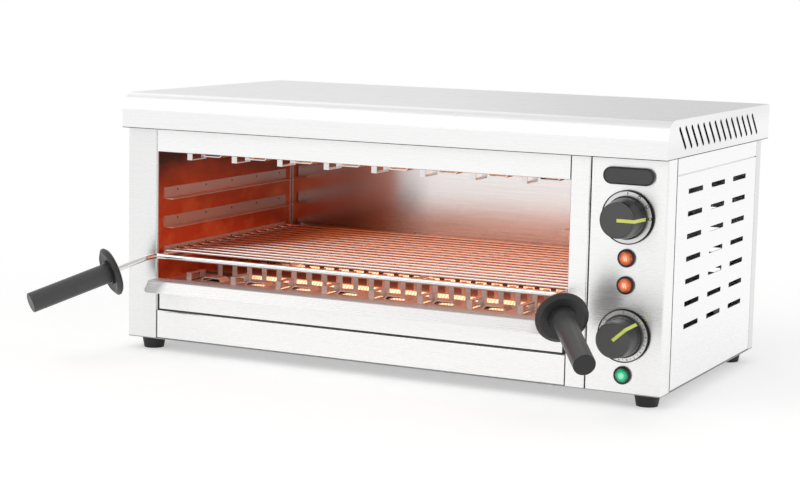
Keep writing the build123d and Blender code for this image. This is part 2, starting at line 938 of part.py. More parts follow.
# Control knobs, each with its dial, pointer insert, spindle and the device behind the panel
z_knob = dial_thickness + knob_gap
z_face = z_knob + knob_length
z_body = z_knob + skirt_thickness
with BuildPart() as dial_shape:
    with BuildSketch(Plane.XY):
        Circle(dial_radius)
        Circle(dial_hole, mode=Mode.SUBTRACT)
    extrude(amount=dial_thickness)
    with BuildSketch(Plane.XY.offset(dial_thickness)):
        Circle(dial_radius - dial_rim)
    extrude(amount=-dial_recess, mode=Mode.SUBTRACT)

with BuildPart() as pointer_shape:
    with BuildSketch(Plane.XZ.offset(-pointer_width / 2)):
        with BuildLine():
            Polyline(
                (0, z_face + pointer_proud),
                (knob_face_radius + pointer_proud, z_face + pointer_proud),
                (knob_base_radius + pointer_proud, z_body),
                (knob_base_radius - pointer_depth, z_body),
                (knob_face_radius - pointer_depth, z_face - pointer_depth),
                (0, z_face - pointer_depth),
                close=True,
            )
        make_face()
    extrude(amount=pointer_width)

with BuildPart() as knob_shape:
    with BuildSketch(Plane.XZ) as knob_section:
        with BuildLine():
            Polyline(
                (0, z_knob),
                (skirt_radius, z_knob),
                (skirt_radius, z_body),
                (knob_base_radius, z_body),
                (knob_face_radius, z_face),
                (0, z_face),
                close=True,
            )
        make_face()
        for corner in ((knob_face_radius, z_face), (skirt_radius, z_body)):
            chamfer(knob_section.vertices().sort_by_distance(corner)[0], knob_bevel)
    revolve(axis=Axis.Z)
    with BuildSketch(Plane.XY.offset(z_knob)):
        Circle(spindle_radius + rod_fit)
    extrude(amount=spindle_in_knob, mode=Mode.SUBTRACT)
    add(pointer_shape.part, mode=Mode.SUBTRACT)

with BuildPart() as spindle_shape:
    with BuildSketch(Plane.XY.offset(-sheet - spindle_in_switch)):
        Circle(spindle_radius)
    extrude(amount=spindle_in_switch + sheet + z_knob + spindle_in_knob)

with BuildPart() as switch_shape:
    with BuildSketch(Plane.XY.offset(-sheet)):
        RectangleRounded(switch_width, switch_width, switch_corner)
    extrude(amount=-switch_depth)

with BuildPart() as timer_shape:
    with BuildSketch(Plane.XY.offset(-sheet)):
        Circle(timer_radius)
    extrude(amount=-timer_depth)

for name, dial_z, angle, device, device_name in (
    ("selector", selector_z, selector_angle, switch_shape, "selector_switch"),
    ("timer", timer_z, timer_angle, timer_shape, "timer_body"),
):
    place = panel_plane(dial_z)
    turned = panel_plane(dial_z, angle)
    with BuildPart() as dial:
        with Locations(place.location):
            add(dial_shape.part)
    save(dial, f"{name}_dial")
    with BuildPart() as knob:
        with Locations(turned.location):
            add(knob_shape.part)
    save(knob, f"{name}_knob")
    with BuildPart() as pointer:
        with Locations(turned.location):
            add(pointer_shape.part)
    save(pointer, f"{name}_pointer")
    with BuildPart() as spindle:
        with Locations(place.location):
            add(spindle_shape.part)
    save(spindle, f"{name}_spindle")
    with BuildPart() as device_body:
        with Locations(place.location):
            add(device.part)
        with BuildSketch(place.offset(-sheet)):
            Circle(spindle_radius + running_gap)
        extrude(amount=-spindle_in_switch - running_gap, mode=Mode.SUBTRACT)
    save(device_body, device_name)

# Indicator lamps, each a domed lens in a black holder
lens_base = lamp_rim_height - lens_seat
with BuildPart() as lamp_shape:
    with BuildSketch(Plane.XZ) as lamp_section:
        with BuildLine():
            Polyline(
                (0, -lamp_barrel_length),
                (lamp_barrel_radius, -lamp_barrel_length),
                (lamp_barrel_radius, 0),
                (lamp_radius, 0),
                (lamp_radius, lamp_rim_height),
                (lens_radius, lamp_rim_height),
                (lens_radius, lens_base),
                (0, lens_base),
                close=True,
            )
        make_face()
        rim = lamp_section.vertices().sort_by_distance((lamp_radius, lamp_rim_height))[0]
        chamfer(rim, lamp_rim_bevel)
    revolve(axis=Axis.Z)

lens_edge = lens_radius - lamp_fit
lens_top = lamp_rim_height + lens_dome
lens_sphere = (lens_edge**2 + lens_dome**2) / (2 * lens_dome)
with BuildPart() as lens_shape:
    with BuildSketch(Plane.XZ):
        with BuildLine():
            sides = Polyline(
                (0, lens_top), (0, lens_base), (lens_edge, lens_base), (lens_edge, lamp_rim_height)
            )
            RadiusArc(sides @ 1, sides @ 0, -lens_sphere)
        make_face()
    revolve(axis=Axis.Z)

with BuildPart() as lamp_holders:
    with Locations(*[panel_plane(lamp_z).location for lamp_z in lamp_heights]):
        add(lamp_shape.part)
save(lamp_holders, "lamp_holders")

with BuildPart() as orange_lenses:
    for lamp_z in (upper_lamp_z, middle_lamp_z):
        with Locations(panel_plane(lamp_z).location):
            add(lens_shape.part)
save(orange_lenses, "orange_lamp_lenses")

with BuildPart() as green_lens:
    with Locations(panel_plane(lower_lamp_z).location):
        add(lens_shape.part)
save(green_lens, "green_lamp_lens")

# Bare badge plate with a raised rim
with BuildPart() as badge:
    with BuildSketch(panel_plane(badge_z)):
        SlotOverall(badge_length, badge_width)
    extrude(amount=badge_thickness)
    chamfer(badge.edges().group_by(Axis.Y)[0], badge_bevel)
    with BuildSketch(panel_plane(badge_z).offset(badge_thickness)):
        SlotOverall(badge_length - 2 * badge_rim, badge_width - 2 * badge_rim)
    extrude(amount=-badge_recess, mode=Mode.SUBTRACT)
save(badge, "badge_plate")

# Rubber feet with a recess for the screw head
with BuildPart() as foot_shape:
    with BuildSketch(Plane.XZ):
        with BuildLine():
            Polyline(
                (foot_recess_radius, 0),
                (foot_bottom_radius, 0),
                (foot_top_radius, foot_height),
                (screw_radius + screw_clearance, foot_height),
                (screw_radius + screw_clearance, foot_recess),
                (foot_recess_radius, foot_recess),
                close=True,
            )
        make_face()
    revolve(axis=Axis.Z)

for name, point in zip(("front_left", "front_right", "rear_left", "rear_right"), foot_points):
    with BuildPart() as foot:
        with Locations(point):
            add(foot_shape.part)
    save(foot, f"foot_{name}")

# Pan-head screw, its head's seat at height zero
with BuildPart() as screw_shape:
    with BuildSketch(Plane.XY):
        Circle(screw_head_radius)
    extrude(amount=-screw_head_height)
    chamfer(screw_shape.edges().group_by(Axis.Z)[0], screw_head_bevel)
    with BuildSketch(Plane.XY):
        Circle(screw_radius)
    extrude(amount=screw_reach)

with BuildPart() as base_screws:
    with Locations(*[(x, y, z_base) for x, y in screw_points]):
        add(screw_shape.part)
save(base_screws, "base_screws")

# Foot screws, longer by the foot's solid part
with BuildPart() as foot_screws:
    with Locations(*[(x, y, foot_recess) for x, y in foot_points]):
        add(screw_shape.part)
    with BuildSketch(Plane.XY.offset(foot_recess)):
        with Locations(*foot_points):
            Circle(screw_radius)
    extrude(amount=foot_height - foot_recess + screw_reach)
save(foot_screws, "foot_screws")

# Cable gland in the back panel, with its dome nut outside and lock nut inside
gland_plane = Plane(origin=(dial_x, y_back, z_base + gland_height), x_dir=(1, 0, 0), z_dir=(0, 1, 0))
with BuildPart() as cable_gland:
    with BuildSketch(gland_plane):
        RegularPolygon(gland_hex_radius, 6)
    extrude(amount=gland_hex_height)
    with BuildSketch(gland_plane.offset(gland_hex_height)):
        Circle(gland_cap_radius)
    extrude(amount=gland_cap_height)
    chamfer(cable_gland.edges().group_by(Axis.Y)[-1], gland_cap_bevel)
    with BuildSketch(gland_plane):
        Circle(gland_thread_radius)
    extrude(amount=-sheet - gland_nut_height)
    with BuildSketch(gland_plane.offset(-sheet)):
        RegularPolygon(gland_hex_radius, 6)
    extrude(amount=-gland_nut_height)
    with BuildSketch(gland_plane.offset(-sheet - gland_nut_height)):
        Circle(gland_bore)
    extrude(
        amount=sheet + gland_nut_height + gland_hex_height + gland_cap_height,
        mode=Mode.SUBTRACT,
    )
save(cable_gland, "cable_gland")

# Terminal block for the supply, standing on the base plate
terminal_y = y_back - foot_inset - screw_radius - terminal_gap - terminal_depth / 2
terminal_top = Plane(origin=(dial_x, terminal_y, z_floor + terminal_height))
with BuildPart() as terminal_block:
    with BuildSketch(Plane.XY.offset(z_floor)):
        with Locations((dial_x, terminal_y)):
            Rectangle(terminal_width, terminal_depth)
    extrude(amount=terminal_height)
    with BuildSketch(terminal_top):
        with GridLocations(terminal_width / terminal_poles, 0, terminal_poles, 1):
            Circle(terminal_well_radius)
    extrude(amount=-terminal_well_depth, mode=Mode.SUBTRACT)
save(terminal_block, "terminal_block")
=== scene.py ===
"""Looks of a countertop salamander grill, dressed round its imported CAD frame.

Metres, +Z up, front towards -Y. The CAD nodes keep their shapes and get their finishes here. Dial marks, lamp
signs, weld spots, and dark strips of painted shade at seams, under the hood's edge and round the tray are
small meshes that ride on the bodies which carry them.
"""

from math import cos, pi, radians, sin

import bmesh
import bpy
from mathutils import Matrix, Vector


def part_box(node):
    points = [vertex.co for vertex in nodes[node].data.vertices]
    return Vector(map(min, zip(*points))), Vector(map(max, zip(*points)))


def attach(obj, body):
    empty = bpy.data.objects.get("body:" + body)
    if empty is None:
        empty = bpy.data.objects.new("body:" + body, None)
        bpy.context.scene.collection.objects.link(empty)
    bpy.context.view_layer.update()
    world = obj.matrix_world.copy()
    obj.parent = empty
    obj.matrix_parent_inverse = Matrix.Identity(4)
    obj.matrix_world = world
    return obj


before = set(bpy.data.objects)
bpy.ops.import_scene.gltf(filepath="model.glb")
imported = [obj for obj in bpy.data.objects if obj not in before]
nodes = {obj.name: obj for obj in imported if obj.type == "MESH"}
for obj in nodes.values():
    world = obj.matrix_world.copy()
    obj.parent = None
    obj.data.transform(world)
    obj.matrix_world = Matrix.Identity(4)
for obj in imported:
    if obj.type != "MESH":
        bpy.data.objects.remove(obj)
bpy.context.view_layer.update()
scene = bpy.context.scene

# Camera, fitted to the photograph
CAMERA_PLACE = (0.90741, -1.84077, 0.40367)
CAMERA_TURN = (82.3675, -1.1736, 26.4781)
CAMERA_LENS = 89.08
SENSOR_WIDTH = 36
CLIP_END = 500

# Lamps: name, place, target, width, height, watts, colour
LAMPS = (
    ("key_light", (-1.3, -2.0, 2.2), (0, 0, 0.15), 3.0, 2.4, 24, (1, 0.99, 0.97)),
    ("side_light", (2.4, -0.6, 1.6), (0.1, 0, 0.15), 2.4, 2.0, 13, (1, 1, 1)),
    ("back_light", (-2.2, 2.2, 2.4), (0, 0, 0.2), 2.6, 1.6, 5, (1, 1, 1)),
)
UNREFLECTED_LAMP = "side_light"
GLOW_COLOR = (1.0, 0.20, 0.04)
GLOW_SIZE = (0.44, 0.24)
GLOW_GAP = 0.001
UPPER_GLOW_WATTS = 0.16
LOWER_GLOW_WATTS = 0.07

# Parts of the sky that reflections show dimmer: the level of each, and the fades that bound it (axis, where
# it starts, where it is full), "band" being the distance from the bright band's middle along X
BRIGHT_BAND = -0.38
DIM_SKIES = (
    (0.70, (("X", 0.2, 0.0), ("Y", 0.7, 0.96), ("Z", 0.01, 0.06), ("Z", 0.7, 0.35))),
    (0.84, (("band", 0.25, 0.4), ("Z", 0.05, 0.25))),
    (0.68, (("X", -0.28, -0.18), ("Y", -0.3, -0.6), ("Z", 0.02, 0.08), ("Z", 0.6, 0.3))),
    (0.84, (("Y", 0.0, 0.3), ("Z", 0.28, 0.42), ("Z", 0.7, 0.5))),
)
FILL_LEVEL = 0.62

# Floor
FLOOR_SIZE = 400
FLOOR_COLOR = (0.88, 0.88, 0.88)
FLOOR_PALE = (0.8888, 0.8888, 0.8888)
FLOOR_GRAIN = (40, 40, 40)
FLOOR_ROUGHNESS = 0.9
FLOOR_LIFT = 0.39
SHADOW_REACH = (0.42, 0.85)

# Noise: the values between which it spreads, its detail, and its scale along each axis
NOISE_LOW = 0.3
NOISE_HIGH = 0.7
STREAK_DETAIL = 4.0
CELL_DETAIL = 2.0
LEVEL_GRAIN = (14, 14, 1500)
SHEET_GRAIN = (14, 1500, 1500)
WIRE_GRAIN = (300, 300, 300)
FINE_GRAIN = (900, 900, 900)

# Sheet steel and wire: colour, grain, roughness, contrast, relief, axis of the brushing
STEEL_ROUGH_SWING = 0.06
STEEL_RELIEF = 0.06
STEEL_BUMP = 0.0002
BRUSHED_STRETCH = 0.7
QUARTER_TURN = 0.25
STEELS = {
    "panel_steel": ((0.97, 0.97, 0.967), LEVEL_GRAIN, 0.28, 0.015, 0.02, "Z"),
    # The next two, for the left side and the back, are darker copies of the panel steel: painted shade; the
    # back's is also rougher
    "shaded_side_steel": ((0.88, 0.88, 0.878), LEVEL_GRAIN, 0.28, 0.02, 0.02, "Z"),
    "shaded_rear_steel": ((0.78, 0.78, 0.775), LEVEL_GRAIN, 0.30, 0.03, 0.03, "Z"),
    "cover_steel": ((0.97, 0.97, 0.97), LEVEL_GRAIN, 0.28, 0.012, 0.015, "Z"),
    "chamber_steel": ((0.80, 0.77, 0.75), LEVEL_GRAIN, 0.19, 0.06, 0.03, "X"),
    "back_steel": ((0.88, 0.86, 0.85), LEVEL_GRAIN, 0.17, 0.05, 0.03, "X"),
    "tray_steel": ((0.97, 0.97, 0.967), LEVEL_GRAIN, 0.28, 0.015, 0.02, "X"),
    "hood_steel": ((0.945, 0.945, 0.945), SHEET_GRAIN, 0.28, 0.015, 0.02, "X"),
    "base_steel": ((0.40, 0.40, 0.40), LEVEL_GRAIN, 0.40, 0.03, STEEL_RELIEF, None),
    "rail_steel": ((0.66, 0.50, 0.46), LEVEL_GRAIN, 0.42, 0.05, STEEL_RELIEF, None),
    "guard_steel": ((0.74, 0.62, 0.58), SHEET_GRAIN, 0.50, 0.08, STEEL_RELIEF, None),
    "upper_guard_steel": ((0.86, 0.84, 0.83), SHEET_GRAIN, 0.34, 0.05, STEEL_RELIEF, None),
    "wire_chrome": ((0.82, 0.81, 0.80), WIRE_GRAIN, 0.12, 0.04, STEEL_RELIEF, None),
    "hot_chrome": ((0.81, 0.74, 0.70), WIRE_GRAIN, 0.14, 0.04, STEEL_RELIEF, None),
    "zinc": ((0.74, 0.74, 0.72), FINE_GRAIN, 0.25, 0.06, STEEL_RELIEF, None),
    "weld_steel": ((0.10, 0.06, 0.05), FINE_GRAIN, 0.5, 0.1, STEEL_RELIEF, None),
}

# Plastic, rubber, ink and ceramic: colour, roughness, then grain, relief and contrast where they differ from
# the usual ones
PLASTIC_GRAIN = 2600
PLASTIC_RELIEF = 0.08
PLASTIC_CONTRAST = 0.25
PLASTIC_ROUGH_SWING = 0.1
PLASTIC_BUMP = 0.0001
RIM_SPECULAR = 0.15
GRIP_GREY = (0.070, 0.070, 0.071)
PLASTICS = {
    "guard_plastic": ((0.032, 0.032, 0.033), 0.42),
    "grip_left_plastic": (GRIP_GREY, 0.36),
    "grip_right_plastic": (GRIP_GREY, 0.36),
    "holder_plastic": ((0.012, 0.012, 0.012), 0.4),
    "device_plastic": ((0.05, 0.05, 0.05), 0.5),
    "badge_plastic": ((0.07, 0.07, 0.072), 0.4),
    "mark_ink": ((0.03, 0.03, 0.03), 0.5),
    "rim_black": ((0.006, 0.006, 0.006), 0.8),
    "foot_rubber": ((0.020, 0.020, 0.020), 0.6, 1800, 0.15),
    "pointer_plastic": ((0.84, 0.92, 0.19), 0.35, 1200, 0.03, 0.05),
    "ceramic": ((0.72, 0.69, 0.62), 0.6, 900, 0.06, 0.08),
    "orange_sign": ((1.0, 0.74, 0.56), 0.3, 1200, 0.02, 0.05),
    "green_sign": ((0.52, 0.96, 0.74), 0.3, 1200, 0.02, 0.05),
}
SIGN_GLOWS = {"orange_sign": 0.35, "green_sign": 0.25}

# Hot quartz and wire: colour, colour over the winding, strength
GLOWS = {
    "quartz_glow": ((1.0, 0.38, 0.15), (1.0, 0.72, 0.50), 1.45),
    "coil_glow": ((1.0, 0.20, 0.05), (1.0, 0.50, 0.22), 1.25),
}
QUARTZ_ROUGHNESS = 0.2
COLD_QUARTZ = (0.10, 0.07, 0.06)
COLD_END = (0.100, 0.060)
WINDING_SCALE = 90
WINDING_DISTORTION = 1.5
WINDING_STOPS = (0.15, 0.75)

# Lit lenses: node, number of domes, colours from the middle outwards, strength
ORANGE_STOPS = (
    (0.0, (0.98, 0.64, 0.44)),
    (0.4, (0.78, 0.23, 0.09)),
    (0.75, (0.50, 0.075, 0.02)),
    (1.0, (0.16, 0.02, 0.006)),
)
GREEN_STOPS = (
    (0.0, (0.30, 0.92, 0.60)),
    (0.4, (0.04, 0.52, 0.27)),
    (0.75, (0.012, 0.25, 0.12)),
    (1.0, (0.003, 0.05, 0.02)),
)
LENSES = {
    "orange_glow": ("orange_lamp_lenses", 2, ORANGE_STOPS, 0.57),
    "green_glow": ("green_lamp_lens", 1, GREEN_STOPS, 0.8),
}
LENS_ROUGHNESS = 0.18
LENS_GRAIN = (420, 420, 420)
LENS_UNEVEN = 0.004
LENS_FADE = (0.001, 0.0095)

# Dials and knobs
DIALS = ("selector_dial", "timer_dial")
DIAL_ROUGHNESS = 0.34
DIAL_METALLIC = 0.8
DIAL_RING_SCALE = 9000
DIAL_SILVER = (0.86, 0.86, 0.855)
DIAL_BRIGHT = (0.92, 0.92, 0.915)
KNOB_BLACK = (0.012, 0.012, 0.012)
KNOB_GREY = (0.096, 0.096, 0.096)
# Pale ring at the edge of the knob's face: painted highlight of its chamfer
KNOB_EDGE_HIGHLIGHT = (0.17, 0.17, 0.17)
KNOB_CONTRAST = 0.2
KNOB_GRAIN = (2600, 2600, 2600)
KNOB_RELIEF = 0.06
KNOB_ROUGHNESS = (0.24, 0.5)
KNOB_FACE_RADIUS = 0.0157
KNOB_HIGHLIGHT_RADII = (0.0161, 0.0166)
KNOB_FADE = 0.0001

# Left wall of the chamber, with the heaters' glow painted into its colour: red low down, dark brown near the
# top, orange patches
PAINTED_GLOW_RED = (0.72, 0.118, 0.038)
GLOW_FADED_BROWN = (0.10, 0.038, 0.026)
PAINTED_GLOW_ORANGE = (0.95, 0.27, 0.11)
PAINTED_GLOW_STOPS = ((0.0, PAINTED_GLOW_RED), (0.58, PAINTED_GLOW_RED), (0.85, GLOW_FADED_BROWN))
GLOW_HEIGHT_START = 0.06
GLOW_HEIGHT_OVERRUN = 0.03
GLOW_CLOUD_GRAIN = (18, 18, 30)
GLOW_CLOUD_DETAIL = 3.0
GLOW_UNEVEN = 0.06
LEFT_WALL_ROUGHNESS = (0.34, 0.46)
PATCH_GRAIN = (26, 26, 34)
PATCH_SHARE = 0.75
PATCH_NOISE = (0.47, 0.66)
PATCH_FADE = (0.45, 0.7)
EDGE_GREY = (0.82, 0.82, 0.82)
EDGE_FADE = (0.001, 0.002)

# Colours laid over the hood's slots, the back wall, the lower guard, the tray's lip and the grips' ends:
# painted shade on all but the lower guard, which gets a darker brown behind its front
# Painted shade inside the hood's slots
SLOT_SHADE = (0.03, 0.03, 0.03)
CUT_DEPTH = (0.0016, 0.0015)
CUT_FACING = (0.4, 0.6)
CUT_HEIGHT_SHARE = (0.37, 0.38)
CUT_REACH = (0.140, 0.141)
# Painted shade on the chamber's back, darker towards the left
BACK_WALL_SHADE = (0.38, 0.36, 0.35)
BACK_SHADE_END = (-0.16, -0.06)
GUARD_BROWN = (0.34, 0.14, 0.10)
GUARD_TINT = (0.05, 0.11)
# Painted shade at the lip's ends and, in grey, on its ledge's upper faces
LIP_END_SHADE = (0.30, 0.30, 0.30)
LIP_END = (0.026, 0.001)
LIP_ROOT = (0.004, 0.003)
LEDGE_SHADE = (0.54, 0.54, 0.54)
LEDGE_FACING = (0.5, 0.9)
LEDGE_METALLIC = 0.1
# Painted shade on the grips' end faces
GRIP_END_SHADE = (0.016, 0.016, 0.016)
GRIP_END_DEPTH = (0.0007, 0.0004)
GRIP_SPLAY = radians(36)
GRIP_DIP = radians(18)

# Nodes of each look
RAIL_LEVELS = ("lower", "middle", "upper")
RAILS = {side: [f"{side}_{level}_rail" for level in RAIL_LEVELS] for side in ("left", "right")}
FINISHES = {
    "panel_steel": ("control_panel", "top_fascia", "lower_fascia", "right_wall"),
    "shaded_side_steel": ("left_side_panel",),
    "shaded_rear_steel": ("back_panel",),
    "base_steel": ("base_plate",),
    "tray_steel": ("crumb_tray_front",),
    "cover_steel": ("side_cover", "right_top_rail"),
    "hood_steel": ("hood",),
    "back_steel": ("back_wall",),
    "chamber_steel": ("chamber_floor", "crumb_tray_floor", "crumb_tray_rim", "upper_reflector"),
    "heated_wall": ("left_wall",),
    "rail_steel": (*RAILS["left"], *RAILS["right"]),
    "guard_steel": ("lower_heater_guard",),
    "upper_guard_steel": ("upper_heater_guard",),
    "wire_chrome": ("grid_rod_left", "grid_rod_right", "grid_front_bar"),
    "hot_chrome": ("grid_wires", "grid_support_rods"),
    "zinc": ("base_screws", "foot_screws", "selector_spindle", "timer_spindle"),
    "guard_plastic": ("hand_guard_left", "hand_guard_right"),
    "grip_left_plastic": ("grip_left",),
    "grip_right_plastic": ("grip_right",),
    "knob_plastic": ("selector_knob", "timer_knob"),
    "holder_plastic": ("lamp_holders", "cable_gland", "badge_plate"),
    "foot_rubber": ("foot_front_left", "foot_front_right", "foot_rear_left", "foot_rear_right"),
    "device_plastic": ("selector_switch", "timer_body", "terminal_block"),
    "pointer_plastic": ("selector_pointer", "timer_pointer"),
    "dial_face": DIALS,
    "ceramic": ("tube_holders",),
    "orange_glow": ("orange_lamp_lenses",),
    "green_glow": ("green_lamp_lens",),
    "quartz_glow": ("upper_quartz_tubes", "lower_quartz_tubes"),
    "coil_glow": ("heating_coils",),
}

# Dial marks
DIAL_RECESS = 0.0006
MARK_PROUD = 0.00012
MARK_RADIUS = 0.0227
OFF_TICK = (0.0007, 0.0026)
DOT_SIZE = 0.0007
NUMERAL_SIZE = 0.0031
NUMERAL_STEPS = 3
SIGN_SIZE = 0.0024
SIGN_LINE = 0.00035
SIGN_BOLD = 0.0008
SELECTOR_STEP = 30
SELECTOR_HEATS = ((1,), (-1,), (1, -1))
TIMER_MINUTES = 15
TIMER_FIRST = 28
TIMER_STEP = 20
RIM_WIDTH = 0.00085
RIM_PROUD = 0.00008
RING_STEPS = 72

# Signs on the lamps; the hands of the clock have an angle and a share of its radius
LAMP_SIGN_SIZE = 0.0052
LAMP_SIGN_LINE = 0.0007
LAMP_SIGN_GAP = 0.0011
LAMP_SIGN_SWAY = 0.0004
LAMP_SIGN_STEPS = 12
LAMP_SIGN_PROUD = 0.00005
LAMP_SIGN_ROOT = 0.0005
CLOCK_HANDS = ((0, 0.8), (120, 0.6))

# Badge, weld spots, corner strips, and dark strips of painted shade at the seams, under the hood's edge and
# at the tray
SHEET = 0.001
BADGE_RIM = 0.0014
BADGE_SINK = 0.00028
BADGE_STEPS = 16
WELD_SHARES = (0.10, 0.32, 0.53, 0.74, 0.94)
WELD_HEIGHT_SHARE = 0.70
WELD_RADIUS = 0.0012
WELD_TOP_SHARE = 0.6
WELD_RISE = 0.00025
WELD_STEPS = 12
STRIP_BEVEL = 0.0001
SHADE_LINE_BEVEL = 0.00005
BEVEL_STEPS = 2
CORNER_WIDTH = 0.0045
CORNER_GAP = 0.0005
CORNER_THICKNESS = 0.0006
SHADE_LINE_WIDTH = 0.0016
SHADE_LINE_PROUD = 0.0001
SHADE_LINE_SINK = 0.0003
HOOD_SHADE_HEIGHT = 0.0007
TRAY_SHADE_SINK = 0.0003
TRAY_SHADE_GAP = 0.0006
TRAY_SHADE_HEIGHT = 0.0016
TRAY_SHADE_TOP = 0.004
TRAY_SIDE_GAP = 0.0032


def node(tree, kind, **settings):
    """Add a shader node with these settings."""
    made = tree.nodes.new(kind)
    for key, value in settings.items():
        setattr(made, key, value)
    return made


def connect(tree, value, socket):
    """Link an output to a socket, or set the socket to a plain value."""
    if isinstance(value, bpy.types.NodeSocket):
        tree.links.new(value, socket)
    else:
        socket.default_value = value


def calculated(tree, operation, *values):
    """Result of a math node on outputs or plain numbers."""
    made = node(tree, "ShaderNodeMath", operation=operation)
    for value, socket in zip(values, made.inputs):
        connect(tree, value, socket)
    return made.outputs[0]


def from_vectors(tree, operation, result, *values):
    """Named result of a vector math node on outputs or plain vectors."""
    made = node(tree, "ShaderNodeVectorMath", operation=operation)
    for value, socket in zip(values, made.inputs):
        connect(tree, value, socket)
    return made.outputs[result]


def product(tree, values):
    """Several shares multiplied."""
    total = values[0]
    for value in values[1:]:
        total = calculated(tree, "MULTIPLY", total, value)
    return total


def off_middle(tree, value, middle):
    """Distance of a value from a middle."""
    return calculated(tree, "ABSOLUTE", calculated(tree, "SUBTRACT", value, middle))


def spread(tree, value, low, high, start=NOISE_LOW, end=NOISE_HIGH):
    """Map a value between start and end to the range from low to high."""
    made = node(tree, "ShaderNodeMapRange")
    made.inputs["From Min"].default_value = start
    made.inputs["From Max"].default_value = end
    made.inputs["To Min"].default_value = low
    made.inputs["To Max"].default_value = high
    tree.links.new(value, made.inputs["Value"])
    return made.outputs["Result"]


def ramp(tree, value, stops):
    """Colour ramp of (position, colour) stops."""
    made = node(tree, "ShaderNodeValToRGB")
    elements = made.color_ramp.elements
    while len(elements) < len(stops):
        elements.new(0.5)
    for element, (position, color) in zip(elements, stops):
        element.position = position
        element.color = (*color, 1.0)
    tree.links.new(value, made.inputs["Fac"])
    return made.outputs["Color"]


def mixed(tree, share, first, second):
    """Colour between two colours or outputs."""
    made = node(tree, "ShaderNodeMix", data_type="RGBA")
    for color, socket in ((first, made.inputs["A"]), (second, made.inputs["B"])):
        connect(tree, color if isinstance(color, bpy.types.NodeSocket) else (*color, 1), socket)
    tree.links.new(share, made.inputs["Factor"])
    return made.outputs["Result"]


def object_place(tree):
    """The place on the object, which is the place in the world at rest."""
    return node(tree, "ShaderNodeTexCoord").outputs["Object"]


def axes(tree, vector):
    """The X, Y and Z outputs of a vector."""
    parts = node(tree, "ShaderNodeSeparateXYZ")
    tree.links.new(vector, parts.inputs["Vector"])
    return parts.outputs["X"], parts.outputs["Y"], parts.outputs["Z"]


def place_axes(tree):
    """The X, Y and Z outputs of the place on the object."""
    return axes(tree, object_place(tree))


def normal_axes(tree):
    """The X, Y and Z outputs of the face's direction."""
    return axes(tree, node(tree, "ShaderNodeNewGeometry").outputs["True Normal"])


def grained(tree, scales, detail=STREAK_DETAIL):
    """Noise in object coordinates, with its own scale along each axis."""
    stretch = node(tree, "ShaderNodeMapping")
    stretch.inputs["Scale"].default_value = scales
    noise = node(tree, "ShaderNodeTexNoise")
    noise.inputs["Scale"].default_value = 1.0
    noise.inputs["Detail"].default_value = detail
    tree.links.new(object_place(tree), stretch.inputs["Vector"])
    tree.links.new(stretch.outputs["Vector"], noise.inputs["Vector"])
    return noise.outputs["Fac"]


def varied(tree, noise, color, contrast):
    """A colour that noise makes darker and lighter by a share."""
    dark = [channel * (1 - contrast) for channel in color]
    light = [channel * (1 + contrast) for channel in color]
    return ramp(tree, noise, ((NOISE_LOW, dark), (NOISE_HIGH, light)))


def bumped(tree, shader, value, strength, distance):
    """Bump from a noise value."""
    made = node(tree, "ShaderNodeBump")
    made.inputs["Strength"].default_value = strength
    made.inputs["Distance"].default_value = distance
    tree.links.new(value, made.inputs["Height"])
    tree.links.new(made.outputs["Normal"], shader.inputs["Normal"])


def nearest_middle(tree, middles, flat=False):
    """Distance to the nearest of some points, seen from the front if flat."""
    place = object_place(tree)
    if flat:
        place = from_vectors(tree, "MULTIPLY", "Vector", place, (1, 0, 1))
    nearest = None
    for middle in middles:
        away = from_vectors(tree, "DISTANCE", "Value", place, middle)
        nearest = away if nearest is None else calculated(tree, "MINIMUM", nearest, away)
    return nearest


def front_middles(names):
    """Middles of nodes as seen from the front."""
    middles = []
    for name in names:
        low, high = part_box(name)
        middles.append(((low.x + high.x) / 2, 0, (low.z + high.z) / 2))
    return middles


def lens_centres(name, count):
    """Middles of the one or two domes of a lens node, lowest first."""
    low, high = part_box(name)
    radius = (high.x - low.x) / 2
    middle = (low.x + high.x) / 2
    return [(middle, low.y, low.z + radius), (middle, low.y, high.z - radius)][:count]


def shader_of(material):
    """The Principled shader of a material."""
    return material.node_tree.nodes["Principled BSDF"]


def new_material(name):
    """A node material, its tree and its Principled shader."""
    material = bpy.data.materials.new(name)
    material.use_nodes = True
    return material, material.node_tree, shader_of(material)


def brushed_steel(name, color, grain, roughness, contrast, relief, brush_axis):
    """Sheet steel or wire; where it is brushed, its highlights stretch across the brush lines."""
    material, tree, shader = new_material(name)
    shader.inputs["Metallic"].default_value = 1.0
    if brush_axis:
        shader.inputs["Anisotropic"].default_value = BRUSHED_STRETCH
        shader.inputs["Anisotropic Rotation"].default_value = QUARTER_TURN if brush_axis == "Z" else 0
        across = node(tree, "ShaderNodeTangent", direction_type="RADIAL", axis=brush_axis)
        tree.links.new(across.outputs["Tangent"], shader.inputs["Tangent"])
    streaks = grained(tree, grain)
    tree.links.new(varied(tree, streaks, color, contrast), shader.inputs["Base Color"])
    rough = spread(tree, streaks, roughness * (1 - STEEL_ROUGH_SWING), roughness * (1 + STEEL_ROUGH_SWING))
    tree.links.new(rough, shader.inputs["Roughness"])
    bumped(tree, shader, streaks, relief, STEEL_BUMP)
    return material


def moulded(name, color, roughness, grain=PLASTIC_GRAIN, relief=PLASTIC_RELIEF, contrast=PLASTIC_CONTRAST):
    """Moulded plastic or rubber, ink or ceramic with a fine grain."""
    material, tree, shader = new_material(name)
    cells = grained(tree, (grain, grain, grain), CELL_DETAIL)
    tree.links.new(varied(tree, cells, color, contrast), shader.inputs["Base Color"])
    rough = spread(tree, cells, roughness * (1 - PLASTIC_ROUGH_SWING), roughness * (1 + PLASTIC_ROUGH_SWING))
    tree.links.new(rough, shader.inputs["Roughness"])
    bumped(tree, shader, cells, relief, PLASTIC_BUMP)
    return material


